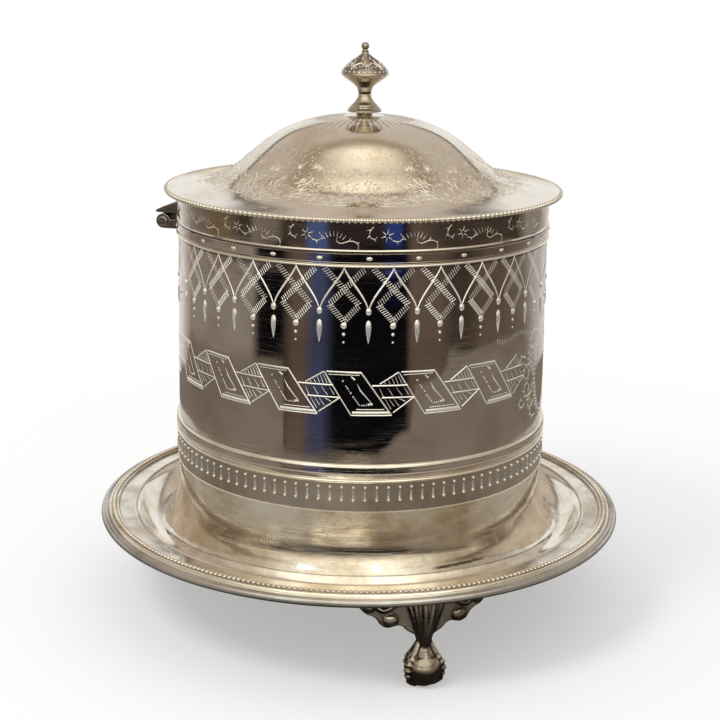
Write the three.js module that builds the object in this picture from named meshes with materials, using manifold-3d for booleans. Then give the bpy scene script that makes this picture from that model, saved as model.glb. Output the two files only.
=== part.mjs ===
// A silver-plated biscuit box: a spun barrel with a hinged domed lid, fixed in a dished stand
// that rests on three cast claw-and-ball feet.
// Millimetres, +Z up. The origin lies on the barrel's axis, on the surface under the feet.
// The hinge lies at -X and its pin runs along Y.

import * as THREE from 'three';
import { mergeVertices } from 'three/addons/utils/BufferGeometryUtils.js';
import Module from 'manifold-3d';

const wasm = await Module();
wasm.setup();

// Sheet, gaps and facets
const sheet = 1;
const seatGap = 0.3;
const nestGap = 0.15;
const cutOverrun = 5;
const roundSides = 42;

// Barrel: its height runs from the stand's floor to the parting line under the lid
const bodyHeight = 128.1;
const bodyTopRadius = 75;
const bodyTaper = 1.6;

// Foliate border, wires and moulding round the barrel
const borderLift = 30.9;
const borderHeight = 9.4;
const borderThickness = 0.5;
const wireRadius = 0.85;
const mouldingLift = 2.4;
const mouldingHeight = 2.5;
const mouldingThickness = 1;
const rimBandHeight = 3.4;
const rimBandThickness = 0.7;

// Cove between the barrel and the stand
const coveWidth = 4.6;
const coveHeight = 15;
const coveLip = 0.6;
const coveOutlineShares = [[0.6, 0.11], [0.3, 0.32], [0.12, 0.66]];
const coveTopShare = 0.08;

// Stand, from its floor outwards: dish, shelf, bead channel and rolled rim
const standFloorHeight = 33;
const floorMargin = 2.5;
const dishWidth = 10.5;
const shelfRise = 7.4;
const shelfWidth = 7.6;
const channelRise = 0.8;
const channelWidth = 3.9;
const rimSlopeWidth = 0.7;
const rimDrop = 2.1;
const rimWireRadius = 1.6;
const standBeadRadius = 1.1;
const dishOutlineShares = [[0.25, 0.06], [0.5, 0.25], [0.72, 0.57], [1, 0.95]];

// Lid: collar, brim, dome and the beaded wire round the brim
const bezelWall = 1;
const bezelDepth = 12;
const bezelStand = 4;
const lidClearance = 0.6;
const lidGap = 0.3;
const collarHeight = 12.2;
const collarLipHeight = 1.8;
const collarLipProud = 0.6;
const brimOverhang = 3.4;
const domeRise = 28.6;
const lidBeadRadius = 1.05;
const domeOutlineShares = [
	[0.092, 1], [0.19, 0.954], [0.3, 0.874], [0.4, 0.769], [0.485, 0.638], [0.57, 0.472], [0.65, 0.3],
	[0.73, 0.158], [1, 0],
];

// Finial, with the stud, washer and nut that hold it
const finialHeight = 28.6;
const finialRadius = 9.6;
const finialBaseRadius = 6.9;
const finialNeckRadius = 3;
const finialTipRadius = 1.5;
const finialSides = 18;
const studRadius = 1.6;
const studSocketDepth = 4.5;
const studTail = 5;
const washerRadius = 4.4;
const washerThickness = 0.8;
const nutRadius = 3.4;
const nutHeight = 2.4;
const fastenerSides = 16;

// Hinge: two knuckles on the barrel, one on the lid and a pin through all three
const hingeLength = 24;
const hingeStandOff = 7.2;
const hingeDrop = 3.9;
const knuckleRadius = 3.1;
const lidKnuckleLength = 8.4;
const knuckleGap = 0.3;
const pinRadius = 1.2;
const pinHeadRadius = 1.9;
const pinHeadHeight = 0.6;
const leafThickness = 1.2;
const bodyLeafHeight = 11.5;
const lidLeafHeight = 8;
const leafOutlineShares = [
	[1, 0], [1, 0.5], [0.94, 0.62], [0.8, 0.66], [0.66, 0.7], [0.4, 0.9], [0.18, 0.98], [0, 1],
];
const coverRise = 4.6;
const coverTipThickness = 1;
const coverClearance = 0.4;
const knuckleSides = 16;

// Claw-and-ball feet
const footCount = 3;
const footSetOut = 2.5;
const ballRadius = 7.2;
const ballFlatDepth = 0.4;
const bracketHalfWidth = 24;
const bracketDrop = 14.2;
const bracketThickness = 2.4;
const bracketOutlineShares = [
	[1, 0.5], [0.9, 0.66], [0.82, 0.7], [0.73, 0.78], [0.66, 0.93], [0.6, 1], [0.52, 1], [0.42, 0.95],
	[0.33, 1], [0.26, 1.15], [0.12, 1.3],
];
const scrollPlaceShares = [0.575, 0.84];
const scrollRadius = 2.5;
const legHalfWidth = 6.8;
const legHalfDepth = 4.6;
const legBow = 2;
const legSides = 14;
const legFluteShare = 0.06;
// Height above the table, half width, half depth and outward bow of the leg's sections
const legSectionShares = [
	[0.995, 0.98, 0.86, -0.1], [0.86, 1, 1, 0.45], [0.72, 0.93, 1.02, 0.8], [0.6, 0.76, 0.92, 0.8],
	[0.5, 0.56, 0.76, 0.5], [0.42, 0.46, 0.63, 0.1], [0.37, 0.48, 0.64, 0], [0.29, 0.8, 1, 0],
];
const toeAngles = [38, -38, 112, -112];
const toeRadius = 1.75;
const toeSides = 6;
const toeStartAngle = 66;
const toeEndAngle = -16;
const toeThicknessShares = [0.95, 1.1, 0.84, 1.12, 0.84, 1, 0.6, 0.2];

// Sizes that follow from those above
const bodyFootRadius = bodyTopRadius + bodyTaper;
const partingHeight = standFloorHeight + bodyHeight;
const coveFootRadius = bodyFootRadius + nestGap + coveWidth;
const floorRadius = coveFootRadius + floorMargin;
const shelfInnerRadius = floorRadius + dishWidth;
const shelfOuterRadius = shelfInnerRadius + shelfWidth;
const channelOuterRadius = shelfOuterRadius + channelWidth;
const sheetEdgeRadius = channelOuterRadius + rimSlopeWidth;
const rimWirePlace = sheetEdgeRadius + nestGap + rimWireRadius;
const shelfHeight = standFloorHeight + shelfRise;
const channelHeight = shelfHeight + channelRise;
const rimHeight = channelHeight - rimDrop;
const borderBottom = standFloorHeight + borderLift;
const baseWireHeight = borderBottom + borderHeight + nestGap + wireRadius;
const mouldingBottom = baseWireHeight + wireRadius + mouldingLift;
const rimBandBottom = partingHeight - rimBandHeight;
const shoulderWireHeight = rimBandBottom - nestGap - wireRadius;
const bezelRadius = Math.min(bodyTopRadius, bodyRadiusAt(partingHeight - bezelDepth)) - sheet - seatGap;
const collarInnerRadius = bezelRadius + lidClearance;
const collarRadius = collarInnerRadius + sheet;
const brimRadius = collarRadius + brimOverhang;
const brimHeight = partingHeight + lidGap + collarHeight + sheet;
const domeTop = brimHeight + domeRise;
const studHoleRadius = studRadius + nestGap;
const rimBandRadius = bodyTopRadius + nestGap + rimBandThickness;
const pinPlace = rimBandRadius + hingeStandOff;
const pinHeight = partingHeight - hingeDrop;
const footPlace = shelfInnerRadius + footSetOut;
const footTop = shelfHeight - sheet - seatGap;
const ballHeight = ballRadius - ballFlatDepth;

const brightSilver = new THREE.MeshStandardMaterial({ color: 0xd8cdbb, metalness: 1, roughness: 0.24 });
const mirrorSilver = new THREE.MeshStandardMaterial({ color: 0xb3a899, metalness: 1, roughness: 0.16 });
const castSilver = new THREE.MeshStandardMaterial({ color: 0x8b8072, metalness: 1, roughness: 0.34 });
const insideGilt = new THREE.MeshStandardMaterial({ color: 0xc4b291, metalness: 1, roughness: 0.38 });

const biscuitBox = new THREE.Group();
const base = new THREE.Group();
const lid = new THREE.Group();
biscuitBox.add(base, lid);

function addPiece(group, name, geometry, material) {
	const mesh = new THREE.Mesh(geometry, material);
	mesh.name = name;
	group.add(mesh);
}

// Radius of the tapered barrel's outside at a height above the table
function bodyRadiusAt(height) {
	const share = (height - standFloorHeight) / bodyHeight;
	return bodyFootRadius + (bodyTopRadius - bodyFootRadius) * share;
}

// A solid of revolution about the Z axis from a closed outline of [radius, height] pairs,
// which may start and end on the axis
function turned(outline, sides = roundSides) {
	let area = 0;
	outline.forEach(([radius, height], i) => {
		const [nextRadius, nextHeight] = outline[(i + 1) % outline.length];
		area += radius * nextHeight - nextRadius * height;
	});
	const points = outline.map(([radius, height]) => new THREE.Vector2(radius, height));
	if (area < 0) points.reverse();
	if (points[0].x > 0) points.push(points[0].clone());
	return new THREE.LatheGeometry(points, sides).rotateX(Math.PI / 2);
}

// The same line moved sideways, to the right of its own direction
function offsetLine(line, distance) {
	return line.map(([radius, height], i) => {
		const before = line[Math.max(i - 1, 0)];
		const after = line[Math.min(i + 1, line.length - 1)];
		const along = new THREE.Vector2(after[0] - before[0], after[1] - before[1]).normalize();
		return [radius + along.y * distance, height - along.x * distance];
	});
}

// Height of a line of [radius, height] pairs at a radius
function heightAt(line, radius) {
	for (let i = 1; i < line.length; i += 1) {
		const [r0, h0] = line[i - 1];
		const [r1, h1] = line[i];
		if ((radius - r0) * (radius - r1) <= 0 && r0 !== r1) {
			return h0 + (h1 - h0) * (radius - r0) / (r1 - r0);
		}
	}
	return line[line.length - 1][1];
}

// A ring round the barrel with a straight back that follows the taper and a rounded front
function appliedRing(bottom, height, thickness, steps) {
	const outline = [
		[bodyRadiusAt(bottom) + nestGap, bottom],
		[bodyRadiusAt(bottom + height) + nestGap, bottom + height],
	];
	for (let i = 0; i <= steps; i += 1) {
		const turn = Math.PI * (0.5 - i / steps) * 0.92;
		const level = bottom + height / 2 + Math.sin(turn) * height / 2;
		outline.push([bodyRadiusAt(level) + nestGap + Math.cos(turn) * thickness, level]);
	}
	return turned(outline);
}

// A round wire bent to a ring about the Z axis
function ringWire(place, height, radius, steps) {
	const outline = [];
	for (let i = 0; i < steps; i += 1) {
		const turn = 2 * Math.PI * (i + 0.5) / steps;
		outline.push([place + Math.cos(turn) * radius, height + Math.sin(turn) * radius]);
	}
	return turned(outline);
}

// Solids for cutting and joining
function toSolid(geometry) {
	const plain = geometry.clone();
	plain.deleteAttribute('normal');
	plain.deleteAttribute('uv');
	const welded = mergeVertices(plain);
	const corners = welded.index.array;
	const kept = [];
	for (let i = 0; i < corners.length; i += 3) {
		const [a, b, c] = corners.slice(i, i + 3);
		if (a !== b && b !== c && c !== a) kept.push(a, b, c);
	}
	return new wasm.Manifold(new wasm.Mesh({
		numProp: 3,
		vertProperties: new Float32Array(welded.attributes.position.array),
		triVerts: new Uint32Array(kept),
	}));
}

function toGeometry(solid) {
	const mesh = solid.getMesh();
	const geometry = new THREE.BufferGeometry();
	geometry.setAttribute('position', new THREE.BufferAttribute(mesh.vertProperties, 3));
	geometry.setIndex(new THREE.BufferAttribute(mesh.triVerts, 1));
	geometry.computeVertexNormals();
	return geometry;
}

function joined(geometries) {
	return geometries.map(toSolid).reduce((whole, next) => whole.add(next));
}

// A closed skin over rings of points, with a flat end at the first and the last ring
function loft(rings) {
	const sides = rings[0].length;
	const positions = rings.flat().flatMap((point) => point.toArray());
	const triangles = [];
	for (let ring = 0; ring + 1 < rings.length; ring += 1) {
		for (let i = 0; i < sides; i += 1) {
			const a = ring * sides + i;
			const b = ring * sides + (i + 1) % sides;
			triangles.push(a, b, b + sides, a, b + sides, a + sides);
		}
	}
	for (const [ring, forward] of [[0, false], [rings.length - 1, true]]) {
		const centre = new THREE.Vector3();
		rings[ring].forEach((point) => centre.addScaledVector(point, 1 / sides));
		const hub = positions.length / 3;
		positions.push(...centre.toArray());
		for (let i = 0; i < sides; i += 1) {
			const a = ring * sides + i;
			const b = ring * sides + (i + 1) % sides;
			triangles.push(hub, forward ? a : b, forward ? b : a);
		}
	}
	const geometry = new THREE.BufferGeometry();
	geometry.setAttribute('position', new THREE.Float32BufferAttribute(positions, 3));
	geometry.setIndex(triangles);
	return geometry;
}

// Stand

// Upper side of the stand's sheet, from the axis to its outer edge
function standLine() {
	const dish = dishOutlineShares.map(([across, up]) => [
		floorRadius + dishWidth * across, standFloorHeight + shelfRise * up,
	]);
	return [
		[floorRadius, standFloorHeight],
		...dish,
		[shelfOuterRadius, shelfHeight],
		[shelfOuterRadius + channelRise / 4, channelHeight],
		[channelOuterRadius, channelHeight],
		[sheetEdgeRadius, rimHeight],
	];
}

// Lower side, a sheet's thickness below, with the step under the beads left plain
function standUnderLine() {
	const dish = standLine().slice(0, -3);
	const under = offsetLine(dish, sheet);
	under.push([channelOuterRadius - sheet / 2, shelfHeight - sheet], [sheetEdgeRadius, rimHeight - sheet]);
	return under;
}

function buildStand() {
	const outline = [[0, standFloorHeight], ...standLine(), ...standUnderLine().reverse()];
	outline.push([0, standFloorHeight - sheet]);
	addPiece(base, 'stand_dish', turned(outline), brightSilver);
	const rimWireHeight = rimHeight - sheet / 2;
	addPiece(base, 'stand_rim_wire', ringWire(rimWirePlace, rimWireHeight, rimWireRadius, 6), castSilver);
	const beadPlace = (shelfOuterRadius + channelRise / 4 + channelOuterRadius) / 2;
	const beads = [];
	for (let i = 0; i <= 4; i += 1) {
		const turn = Math.PI * i / 4;
		beads.push([
			beadPlace + Math.cos(turn) * standBeadRadius,
			channelHeight + nestGap + Math.sin(turn) * standBeadRadius,
		]);
	}
	addPiece(base, 'stand_bead_wire', turned(beads), brightSilver);
}

function buildCove() {
	const bottom = standFloorHeight + seatGap;
	const innerRadius = bodyRadiusAt(bottom) + nestGap;
	const outline = [
		[innerRadius, bottom],
		[innerRadius + coveWidth, bottom],
		[innerRadius + coveWidth, bottom + coveLip],
	];
	for (const [across, up] of coveOutlineShares) {
		outline.push([innerRadius + coveWidth * across, bottom + coveLip + (coveHeight - coveLip) * up]);
	}
	const top = bottom + coveHeight;
	const topRadius = bodyRadiusAt(top) + nestGap;
	outline.push([topRadius + coveWidth * coveTopShare, top], [topRadius, top]);
	addPiece(base, 'base_cove', turned(outline), brightSilver);
}

// Barrel

function buildBarrel() {
	const bottom = standFloorHeight + seatGap;
	const wall = [
		[bodyRadiusAt(bottom), bottom],
		[bodyRadiusAt(partingHeight), partingHeight],
		[bodyRadiusAt(partingHeight) - sheet, partingHeight],
		[bodyRadiusAt(bottom) - sheet, bottom],
	];
	addPiece(base, 'body_wall', turned(wall), mirrorSilver);
	const floorEdge = bodyRadiusAt(bottom + sheet) - sheet - nestGap;
	const floor = [[0, bottom], [floorEdge, bottom], [floorEdge, bottom + sheet], [0, bottom + sheet]];
	addPiece(base, 'body_floor', turned(floor), insideGilt);
	const bezel = [
		[bezelRadius, partingHeight - bezelDepth],
		[bezelRadius, partingHeight + bezelStand],
		[bezelRadius - bezelWall, partingHeight + bezelStand],
		[bezelRadius - bezelWall, partingHeight - bezelDepth],
	];
	addPiece(base, 'bezel_ring', turned(bezel), insideGilt);
}

function buildBarrelTrim() {
	const borderTop = borderBottom + borderHeight;
	const strip = [
		[bodyRadiusAt(borderBottom) + nestGap, borderBottom],
		[bodyRadiusAt(borderBottom) + nestGap + borderThickness, borderBottom],
		[bodyRadiusAt(borderTop) + nestGap + borderThickness, borderTop],
		[bodyRadiusAt(borderTop) + nestGap, borderTop],
	];
	addPiece(base, 'border_strip', turned(strip), mirrorSilver);
	const wireBottom = baseWireHeight - wireRadius;
	addPiece(base, 'base_wire', appliedRing(wireBottom, 2 * wireRadius, wireRadius, 2), brightSilver);
	const moulding = appliedRing(mouldingBottom, mouldingHeight, mouldingThickness, 3);
	addPiece(base, 'base_moulding', moulding, brightSilver);
	const shoulderBottom = shoulderWireHeight - wireRadius;
	addPiece(base, 'shoulder_wire', appliedRing(shoulderBottom, 2 * wireRadius, wireRadius, 2), brightSilver);
	const band = [
		[bodyRadiusAt(rimBandBottom) + nestGap, rimBandBottom],
		[rimBandRadius, rimBandBottom],
		[rimBandRadius, partingHeight],
		[bodyTopRadius + nestGap, partingHeight],
	];
	addPiece(base, 'rim_band', turned(band), mirrorSilver);
}

// Lid

function domeLine() {
	return domeOutlineShares.map(([across, up]) => [brimRadius * across, brimHeight + domeRise * up]);
}

function buildLid() {
	const top = [[studHoleRadius, domeTop], ...domeLine()];
	const under = offsetLine(top, sheet);
	under[0][0] = studHoleRadius;
	under[under.length - 1][0] = brimRadius;
	addPiece(lid, 'lid_dome', turned([...top, ...under.slice().reverse()]), brightSilver);

	const bottom = partingHeight + lidGap;
	const lipRadius = collarRadius + collarLipProud;
	const collar = [
		[collarInnerRadius, bottom],
		[collarRadius + collarLipProud / 3, bottom],
		[lipRadius, bottom + collarLipHeight / 3],
		[lipRadius, bottom + collarLipHeight * 2 / 3],
		[collarRadius, bottom + collarLipHeight],
		[collarRadius, heightAt(under, collarRadius) - nestGap],
		[collarInnerRadius, heightAt(under, collarInnerRadius) - nestGap],
	];
	addPiece(lid, 'lid_collar', turned(collar), brightSilver);
	const beadPlace = brimRadius + nestGap + lidBeadRadius;
	const beadWire = ringWire(beadPlace, brimHeight - sheet / 2, lidBeadRadius, 6);
	addPiece(lid, 'lid_bead_wire', beadWire, brightSilver);
}

// Finial, drawn upwards from its base: a bell foot, a waist and an onion-shaped knob with a bead
function buildFinial() {
	const bottom = domeTop + nestGap;
	const foot = finialBaseRadius;
	const waist = finialNeckRadius;
	const knob = finialRadius;
	const tip = finialTipRadius;
	const tipShare = 1 - tip / finialHeight;
	const outline = [
		[studHoleRadius, 0], [foot, 0], [foot, 0.03], [foot * 0.92, 0.045], [foot * 0.92, 0.07],
		[foot * 0.79, 0.09], [foot * 0.66, 0.15], [foot * 0.5, 0.22], [waist, 0.275], [waist * 1.04, 0.31],
		[knob * 0.47, 0.37], [knob * 0.69, 0.45], [knob * 0.88, 0.52], [knob, 0.565], [knob * 0.98, 0.59],
		[knob * 0.86, 0.65], [knob * 0.68, 0.72], [knob * 0.46, 0.785], [knob * 0.27, 0.825],
		[knob * 0.14, 0.85], [tip * 0.7, 2 * tipShare - 1],
	].map(([radius, share]) => [radius, bottom + finialHeight * share]);
	for (let i = 1; i < 5; i += 1) {
		const turn = Math.PI * (i / 4 - 0.5) * 0.9;
		const level = bottom + finialHeight * tipShare + Math.sin(turn) * tip;
		outline.push([Math.max(Math.cos(turn) * tip, 0), level]);
	}
	outline.push([0, bottom + finialHeight]);
	const socketTop = bottom + studSocketDepth;
	outline.unshift([0, socketTop], [studHoleRadius, socketTop]);
	addPiece(lid, 'finial', turned(outline, finialSides), castSilver);

	const seat = domeTop - sheet;
	const studBottom = seat - studTail;
	const studTop = socketTop - nestGap;
	const stud = [[0, studBottom], [studRadius, studBottom], [studRadius, studTop], [0, studTop]];
	addPiece(lid, 'finial_stud', turned(stud, fastenerSides), castSilver);
	const washer = [
		[studHoleRadius, seat - nestGap], [washerRadius, seat - nestGap],
		[washerRadius, seat - nestGap - washerThickness], [studHoleRadius, seat - nestGap - washerThickness],
	];
	addPiece(lid, 'finial_washer', turned(washer, fastenerSides), castSilver);
	const nutTop = seat - nestGap * 2 - washerThickness;
	const hexagon = new THREE.CylinderGeometry(nutRadius, nutRadius, nutHeight, 6).rotateX(Math.PI / 2);
	hexagon.translate(0, 0, nutTop - nutHeight / 2);
	const boreHeight = nutHeight + 2 * cutOverrun;
	const bore = new THREE.CylinderGeometry(studHoleRadius, studHoleRadius, boreHeight, fastenerSides);
	bore.rotateX(Math.PI / 2).translate(0, 0, nutTop - nutHeight / 2);
	addPiece(lid, 'finial_nut', toGeometry(toSolid(hexagon).subtract(toSolid(bore))), castSilver);
}

// Hinge, drawn in the plane of a radius and the height and extruded along its pin.
// Outward distances are turned to -X at the end.

function hingeBlock(outline, from, to) {
	const shape = new THREE.Shape(outline.map(([out, height]) => new THREE.Vector2(out, height)));
	const geometry = new THREE.ExtrudeGeometry(shape, { depth: to - from, bevelEnabled: false });
	// The outline's plane becomes (-X, Z) and the depth runs along +Y
	geometry.applyMatrix4(new THREE.Matrix4().set(
		-1, 0, 0, 0,
		0, 0, 1, from,
		0, 1, 0, 0,
		0, 0, 0, 1,
	));
	return geometry;
}

// A leaf that lies against the barrel or the collar: straight along one edge and lobed towards
// its tip, which points down for a negative reach
function leafPlate(edge, reach, back, front) {
	const half = leafOutlineShares.map(([across, up]) => [hingeLength / 2 * across, edge + reach * up]);
	const outline = [...half, ...half.slice(0, -1).map(([across, height]) => [-across, height]).reverse()];
	const shape = new THREE.Shape(outline.map(([across, height]) => new THREE.Vector2(across, height)));
	const plate = new THREE.ExtrudeGeometry(shape, { depth: front - back, bevelEnabled: false });
	return plate.rotateX(Math.PI / 2).rotateZ(-Math.PI / 2).translate(-back, 0, 0);
}

function hingeRod(radius, from, to) {
	const rod = new THREE.CylinderGeometry(radius, radius, to - from, knuckleSides);
	return rod.translate(-pinPlace, (from + to) / 2, pinHeight);
}

// A disc about the axis that keeps a leaf's back clear of the barrel or the lid's collar
function keepOut(levels) {
	const outline = [[0, levels[0][1]], ...levels, [0, levels[levels.length - 1][1]]];
	return toSolid(turned(outline));
}

function buildBodyLeaf() {
	const half = hingeLength / 2;
	const inner = lidKnuckleLength / 2 + knuckleGap;
	const back = bodyTopRadius - wireRadius;
	const plateFront = rimBandRadius + seatGap + leafThickness;
	const plateTop = pinHeight + knuckleRadius;
	const plate = leafPlate(plateTop, -bodyLeafHeight, back, plateFront);
	const arm = [
		[back, pinHeight - knuckleRadius], [pinPlace, pinHeight - knuckleRadius],
		[pinPlace, pinHeight], [back, pinHeight + knuckleRadius / 2],
	];
	const pieces = [plate];
	for (const [from, to] of [[-half, -inner], [inner, half]]) {
		pieces.push(hingeBlock(arm, from, to), hingeRod(knuckleRadius, from, to));
	}
	const wireProud = bodyRadiusAt(shoulderWireHeight) + nestGap + wireRadius + seatGap;
	const bandProud = Math.max(rimBandRadius + seatGap, wireProud);
	const wireBottom = shoulderWireHeight - wireRadius - seatGap;
	const barrel = keepOut([
		[bodyRadiusAt(wireBottom) + seatGap, plateTop - bodyLeafHeight - cutOverrun],
		[bodyRadiusAt(wireBottom) + seatGap, wireBottom],
		[bandProud, wireBottom],
		[bandProud, partingHeight + cutOverrun],
	]);
	const bore = toSolid(hingeRod(pinRadius + nestGap, -half - cutOverrun, half + cutOverrun));
	const leaf = joined(pieces).subtract(barrel).subtract(bore);
	addPiece(base, 'hinge_body_leaf', toGeometry(leaf), castSilver);
}

function buildLidLeaf() {
	const half = hingeLength / 2;
	const inner = lidKnuckleLength / 2;
	const back = collarRadius - sheet;
	const coverBottom = pinHeight + knuckleRadius + coverClearance;
	const coverTip = pinPlace + knuckleRadius;
	const plateFront = collarRadius + collarLipProud + seatGap + leafThickness;
	const cover = hingeBlock([
		[back, coverBottom], [coverTip, coverBottom], [coverTip, coverBottom + coverTipThickness],
		[pinPlace, coverBottom + coverRise * 0.55], [plateFront, coverBottom + coverRise],
		[back, coverBottom + coverRise],
	], -half, half);
	const plate = leafPlate(coverBottom, lidLeafHeight, back, plateFront);
	const arm = hingeBlock([
		[pinPlace - knuckleRadius, pinHeight], [pinPlace + knuckleRadius, pinHeight],
		[pinPlace + knuckleRadius, coverBottom + coverTipThickness / 2],
		[pinPlace - knuckleRadius, coverBottom + coverTipThickness / 2],
	], -inner, inner);
	const lipTop = partingHeight + lidGap + collarLipHeight + seatGap;
	const collar = keepOut([
		[collarRadius + collarLipProud + seatGap, coverBottom - cutOverrun],
		[collarRadius + collarLipProud + seatGap, lipTop],
		[collarRadius + seatGap, lipTop],
		[collarRadius + seatGap, coverBottom + lidLeafHeight + cutOverrun],
	]);
	const bore = toSolid(hingeRod(pinRadius + nestGap, -half - cutOverrun, half + cutOverrun));
	const leaf = joined([cover, plate, arm, hingeRod(knuckleRadius, -inner, inner)]);
	addPiece(lid, 'hinge_lid_leaf', toGeometry(leaf.subtract(collar).subtract(bore)), castSilver);
}

function buildPin() {
	const end = hingeLength / 2 + nestGap;
	const shank = hingeRod(pinRadius, -end, end);
	const heads = [
		hingeRod(pinHeadRadius, end, end + pinHeadHeight),
		hingeRod(pinHeadRadius, -end - pinHeadHeight, -end),
	];
	addPiece(base, 'hinge_pin', toGeometry(joined([shank, ...heads])), castSilver);
}

// Feet, drawn with +X outwards from the stand and the ball's centre over the origin

function footBracket() {
	const half = bracketOutlineShares.map(([across, down]) => [
		bracketHalfWidth * across, footTop - bracketDrop * down,
	]);
	const right = [[bracketHalfWidth, footTop], ...half];
	const left = right.map(([across, height]) => [-across, height]).reverse();
	const shape = new THREE.Shape([...right, ...left].map(([x, y]) => new THREE.Vector2(x, y)));
	const depth = bracketHalfWidth;
	const slab = new THREE.ExtrudeGeometry(shape, { depth, bevelEnabled: false });
	slab.rotateX(Math.PI / 2).rotateZ(Math.PI / 2).translate(-depth / 2, 0, 0);
	const outline = [
		[footPlace - bracketThickness / 2, footTop - bracketDrop * 2],
		[footPlace + bracketThickness / 2, footTop - bracketDrop * 2],
		[footPlace + bracketThickness / 2, footTop + cutOverrun],
		[footPlace - bracketThickness / 2, footTop + cutOverrun],
	];
	const ring = turned(outline).translate(-footPlace, 0, 0);
	return toSolid(slab).intersect(toSolid(ring));
}

function footLeg() {
	const rings = legSectionShares.map(([up, width, depth, bow]) => {
		const ring = [];
		for (let i = 0; i < legSides; i += 1) {
			const turn = 2 * Math.PI * i / legSides;
			const flute = 1 + legFluteShare * (i % 2 ? -1 : 1);
			ring.push(new THREE.Vector3(
				legBow * bow + Math.cos(turn) * legHalfDepth * depth * flute,
				Math.sin(turn) * legHalfWidth * width * flute,
				footTop * up,
			));
		}
		return ring;
	});
	return loft(rings.reverse());
}

// A toe that bends down over the ball, with a swelling at each knuckle and a pointed talon
function footToe(direction) {
	const steps = toeThicknessShares.length - 1;
	const reach = ballRadius + toeRadius * 0.25;
	const rings = toeThicknessShares.map((share, step) => {
		const bend = THREE.MathUtils.degToRad(
			THREE.MathUtils.lerp(toeStartAngle, toeEndAngle, step / steps),
		);
		const outward = new THREE.Vector3(Math.cos(bend), 0, Math.sin(bend));
		const ring = [];
		for (let i = 0; i < toeSides; i += 1) {
			const turn = 2 * Math.PI * i / toeSides;
			const point = outward.clone().multiplyScalar(reach + Math.cos(turn) * toeRadius * share);
			point.y = -Math.sin(turn) * toeRadius * share;
			ring.push(point);
		}
		return ring;
	});
	const toe = loft(rings);
	return toe.rotateZ(THREE.MathUtils.degToRad(direction)).translate(0, 0, ballHeight);
}

// What the stand's underside takes from a foot's top, so that the foot seats on its curve
function standKeepOut() {
	const under = offsetLine(standUnderLine(), seatGap);
	const outline = [
		[under[0][0], footTop + cutOverrun], ...under,
		[under[under.length - 1][0], footTop + cutOverrun],
	];
	return toSolid(turned(outline).translate(-footPlace, 0, 0));
}

function buildFeet() {
	const ball = new THREE.SphereGeometry(ballRadius, 12, 8).rotateX(Math.PI / 2);
	ball.translate(0, 0, ballHeight);
	const scrolls = [-1, 1].map((side) => {
		const across = bracketHalfWidth * scrollPlaceShares[0] * side;
		const place = Math.sqrt(footPlace ** 2 - across ** 2) - footPlace + bracketThickness / 2;
		const scroll = new THREE.SphereGeometry(scrollRadius, 8, 5);
		return scroll.translate(place, across, footTop - bracketDrop * scrollPlaceShares[1]);
	});
	const toes = toeAngles.map(footToe);
	const below = new THREE.BoxGeometry(4 * ballRadius, 4 * ballRadius, cutOverrun);
	below.translate(0, 0, -cutOverrun / 2);
	const foot = joined([footLeg(), ball, ...toes, ...scrolls]).add(footBracket())
		.subtract(toSolid(below)).subtract(standKeepOut());
	for (let i = 0; i < footCount; i += 1) {
		const placed = toGeometry(foot).translate(footPlace, 0, 0);
		placed.rotateZ(Math.PI + 2 * Math.PI * i / footCount);
		addPiece(base, `foot_${i + 1}`, placed, castSilver);
	}
}

buildStand();
buildCove();
buildBarrel();
buildBarrelTrim();
buildLid();
buildFinial();
buildBodyLeaf();
buildLidLeaf();
buildPin();
buildFeet();

export default biscuitBox;
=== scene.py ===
"""A silver-plated biscuit box: a barrel with a hinged domed lid, fixed in a dished stand on
three claw-and-ball feet. The pieces follow one another as the box is put together."""

import math
import random

import bmesh
import bpy
from mathutils import Matrix, Vector
from mathutils.geometry import interpolate_bezier


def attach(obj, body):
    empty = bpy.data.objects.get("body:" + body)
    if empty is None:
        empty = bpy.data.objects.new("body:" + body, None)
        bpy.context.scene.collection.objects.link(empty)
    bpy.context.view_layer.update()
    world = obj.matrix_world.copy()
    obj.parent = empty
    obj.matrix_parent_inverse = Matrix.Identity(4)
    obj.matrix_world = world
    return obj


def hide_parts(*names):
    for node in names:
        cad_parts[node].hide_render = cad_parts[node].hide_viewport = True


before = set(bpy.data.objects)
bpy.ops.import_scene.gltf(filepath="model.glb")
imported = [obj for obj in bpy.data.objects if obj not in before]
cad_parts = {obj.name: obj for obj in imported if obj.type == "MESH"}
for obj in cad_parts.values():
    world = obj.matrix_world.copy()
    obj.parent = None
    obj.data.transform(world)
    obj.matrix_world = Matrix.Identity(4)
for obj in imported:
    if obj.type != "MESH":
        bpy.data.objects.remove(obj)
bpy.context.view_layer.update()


# The stand: a wide dish spun from one sheet of copper alloy and silver plated. Its floor
# carries the barrel, and a raised shelf, a bead channel and a slope run round it.
mm = 0.001
stand_steps = 300
stand_sheet = 1.0
stand_floor = [(0, 33.0), (60, 33.0), (83.9, 33.0)]
stand_dish = [(83.9, 33.0), (86.5, 33.4), (89.1, 34.9), (91.4, 37.1), (93.1, 39.1), (94.5, 40.15)]
stand_shelf = [(94.9, 40.5), (95.4, 40.45), (95.7, 40.2), (98.5, 40.2), (101.6, 40.3)]
stand_channel = [(101.85, 40.5), (102.1, 41.1), (102.5, 41.25), (105.5, 41.25), (106.1, 40.9)]
stand_slope = [(106.5, 40.1), (106.75, 39.1)]
stand_step_place = 101.9
stand_thread_place = 94.6
bright_clean = (0.94, 0.90, 0.82)
bright_tarnish = (0.66, 0.57, 0.44)
bright_grime_and_shade = (0.20, 0.15, 0.095)


def spans(points):
    """Every two neighbouring points as vectors, with the point before and the point after them."""
    row = [Vector(point) for point in (points[0], *points, points[-1])]
    return zip(row, row[1:], row[2:], row[3:])


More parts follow.
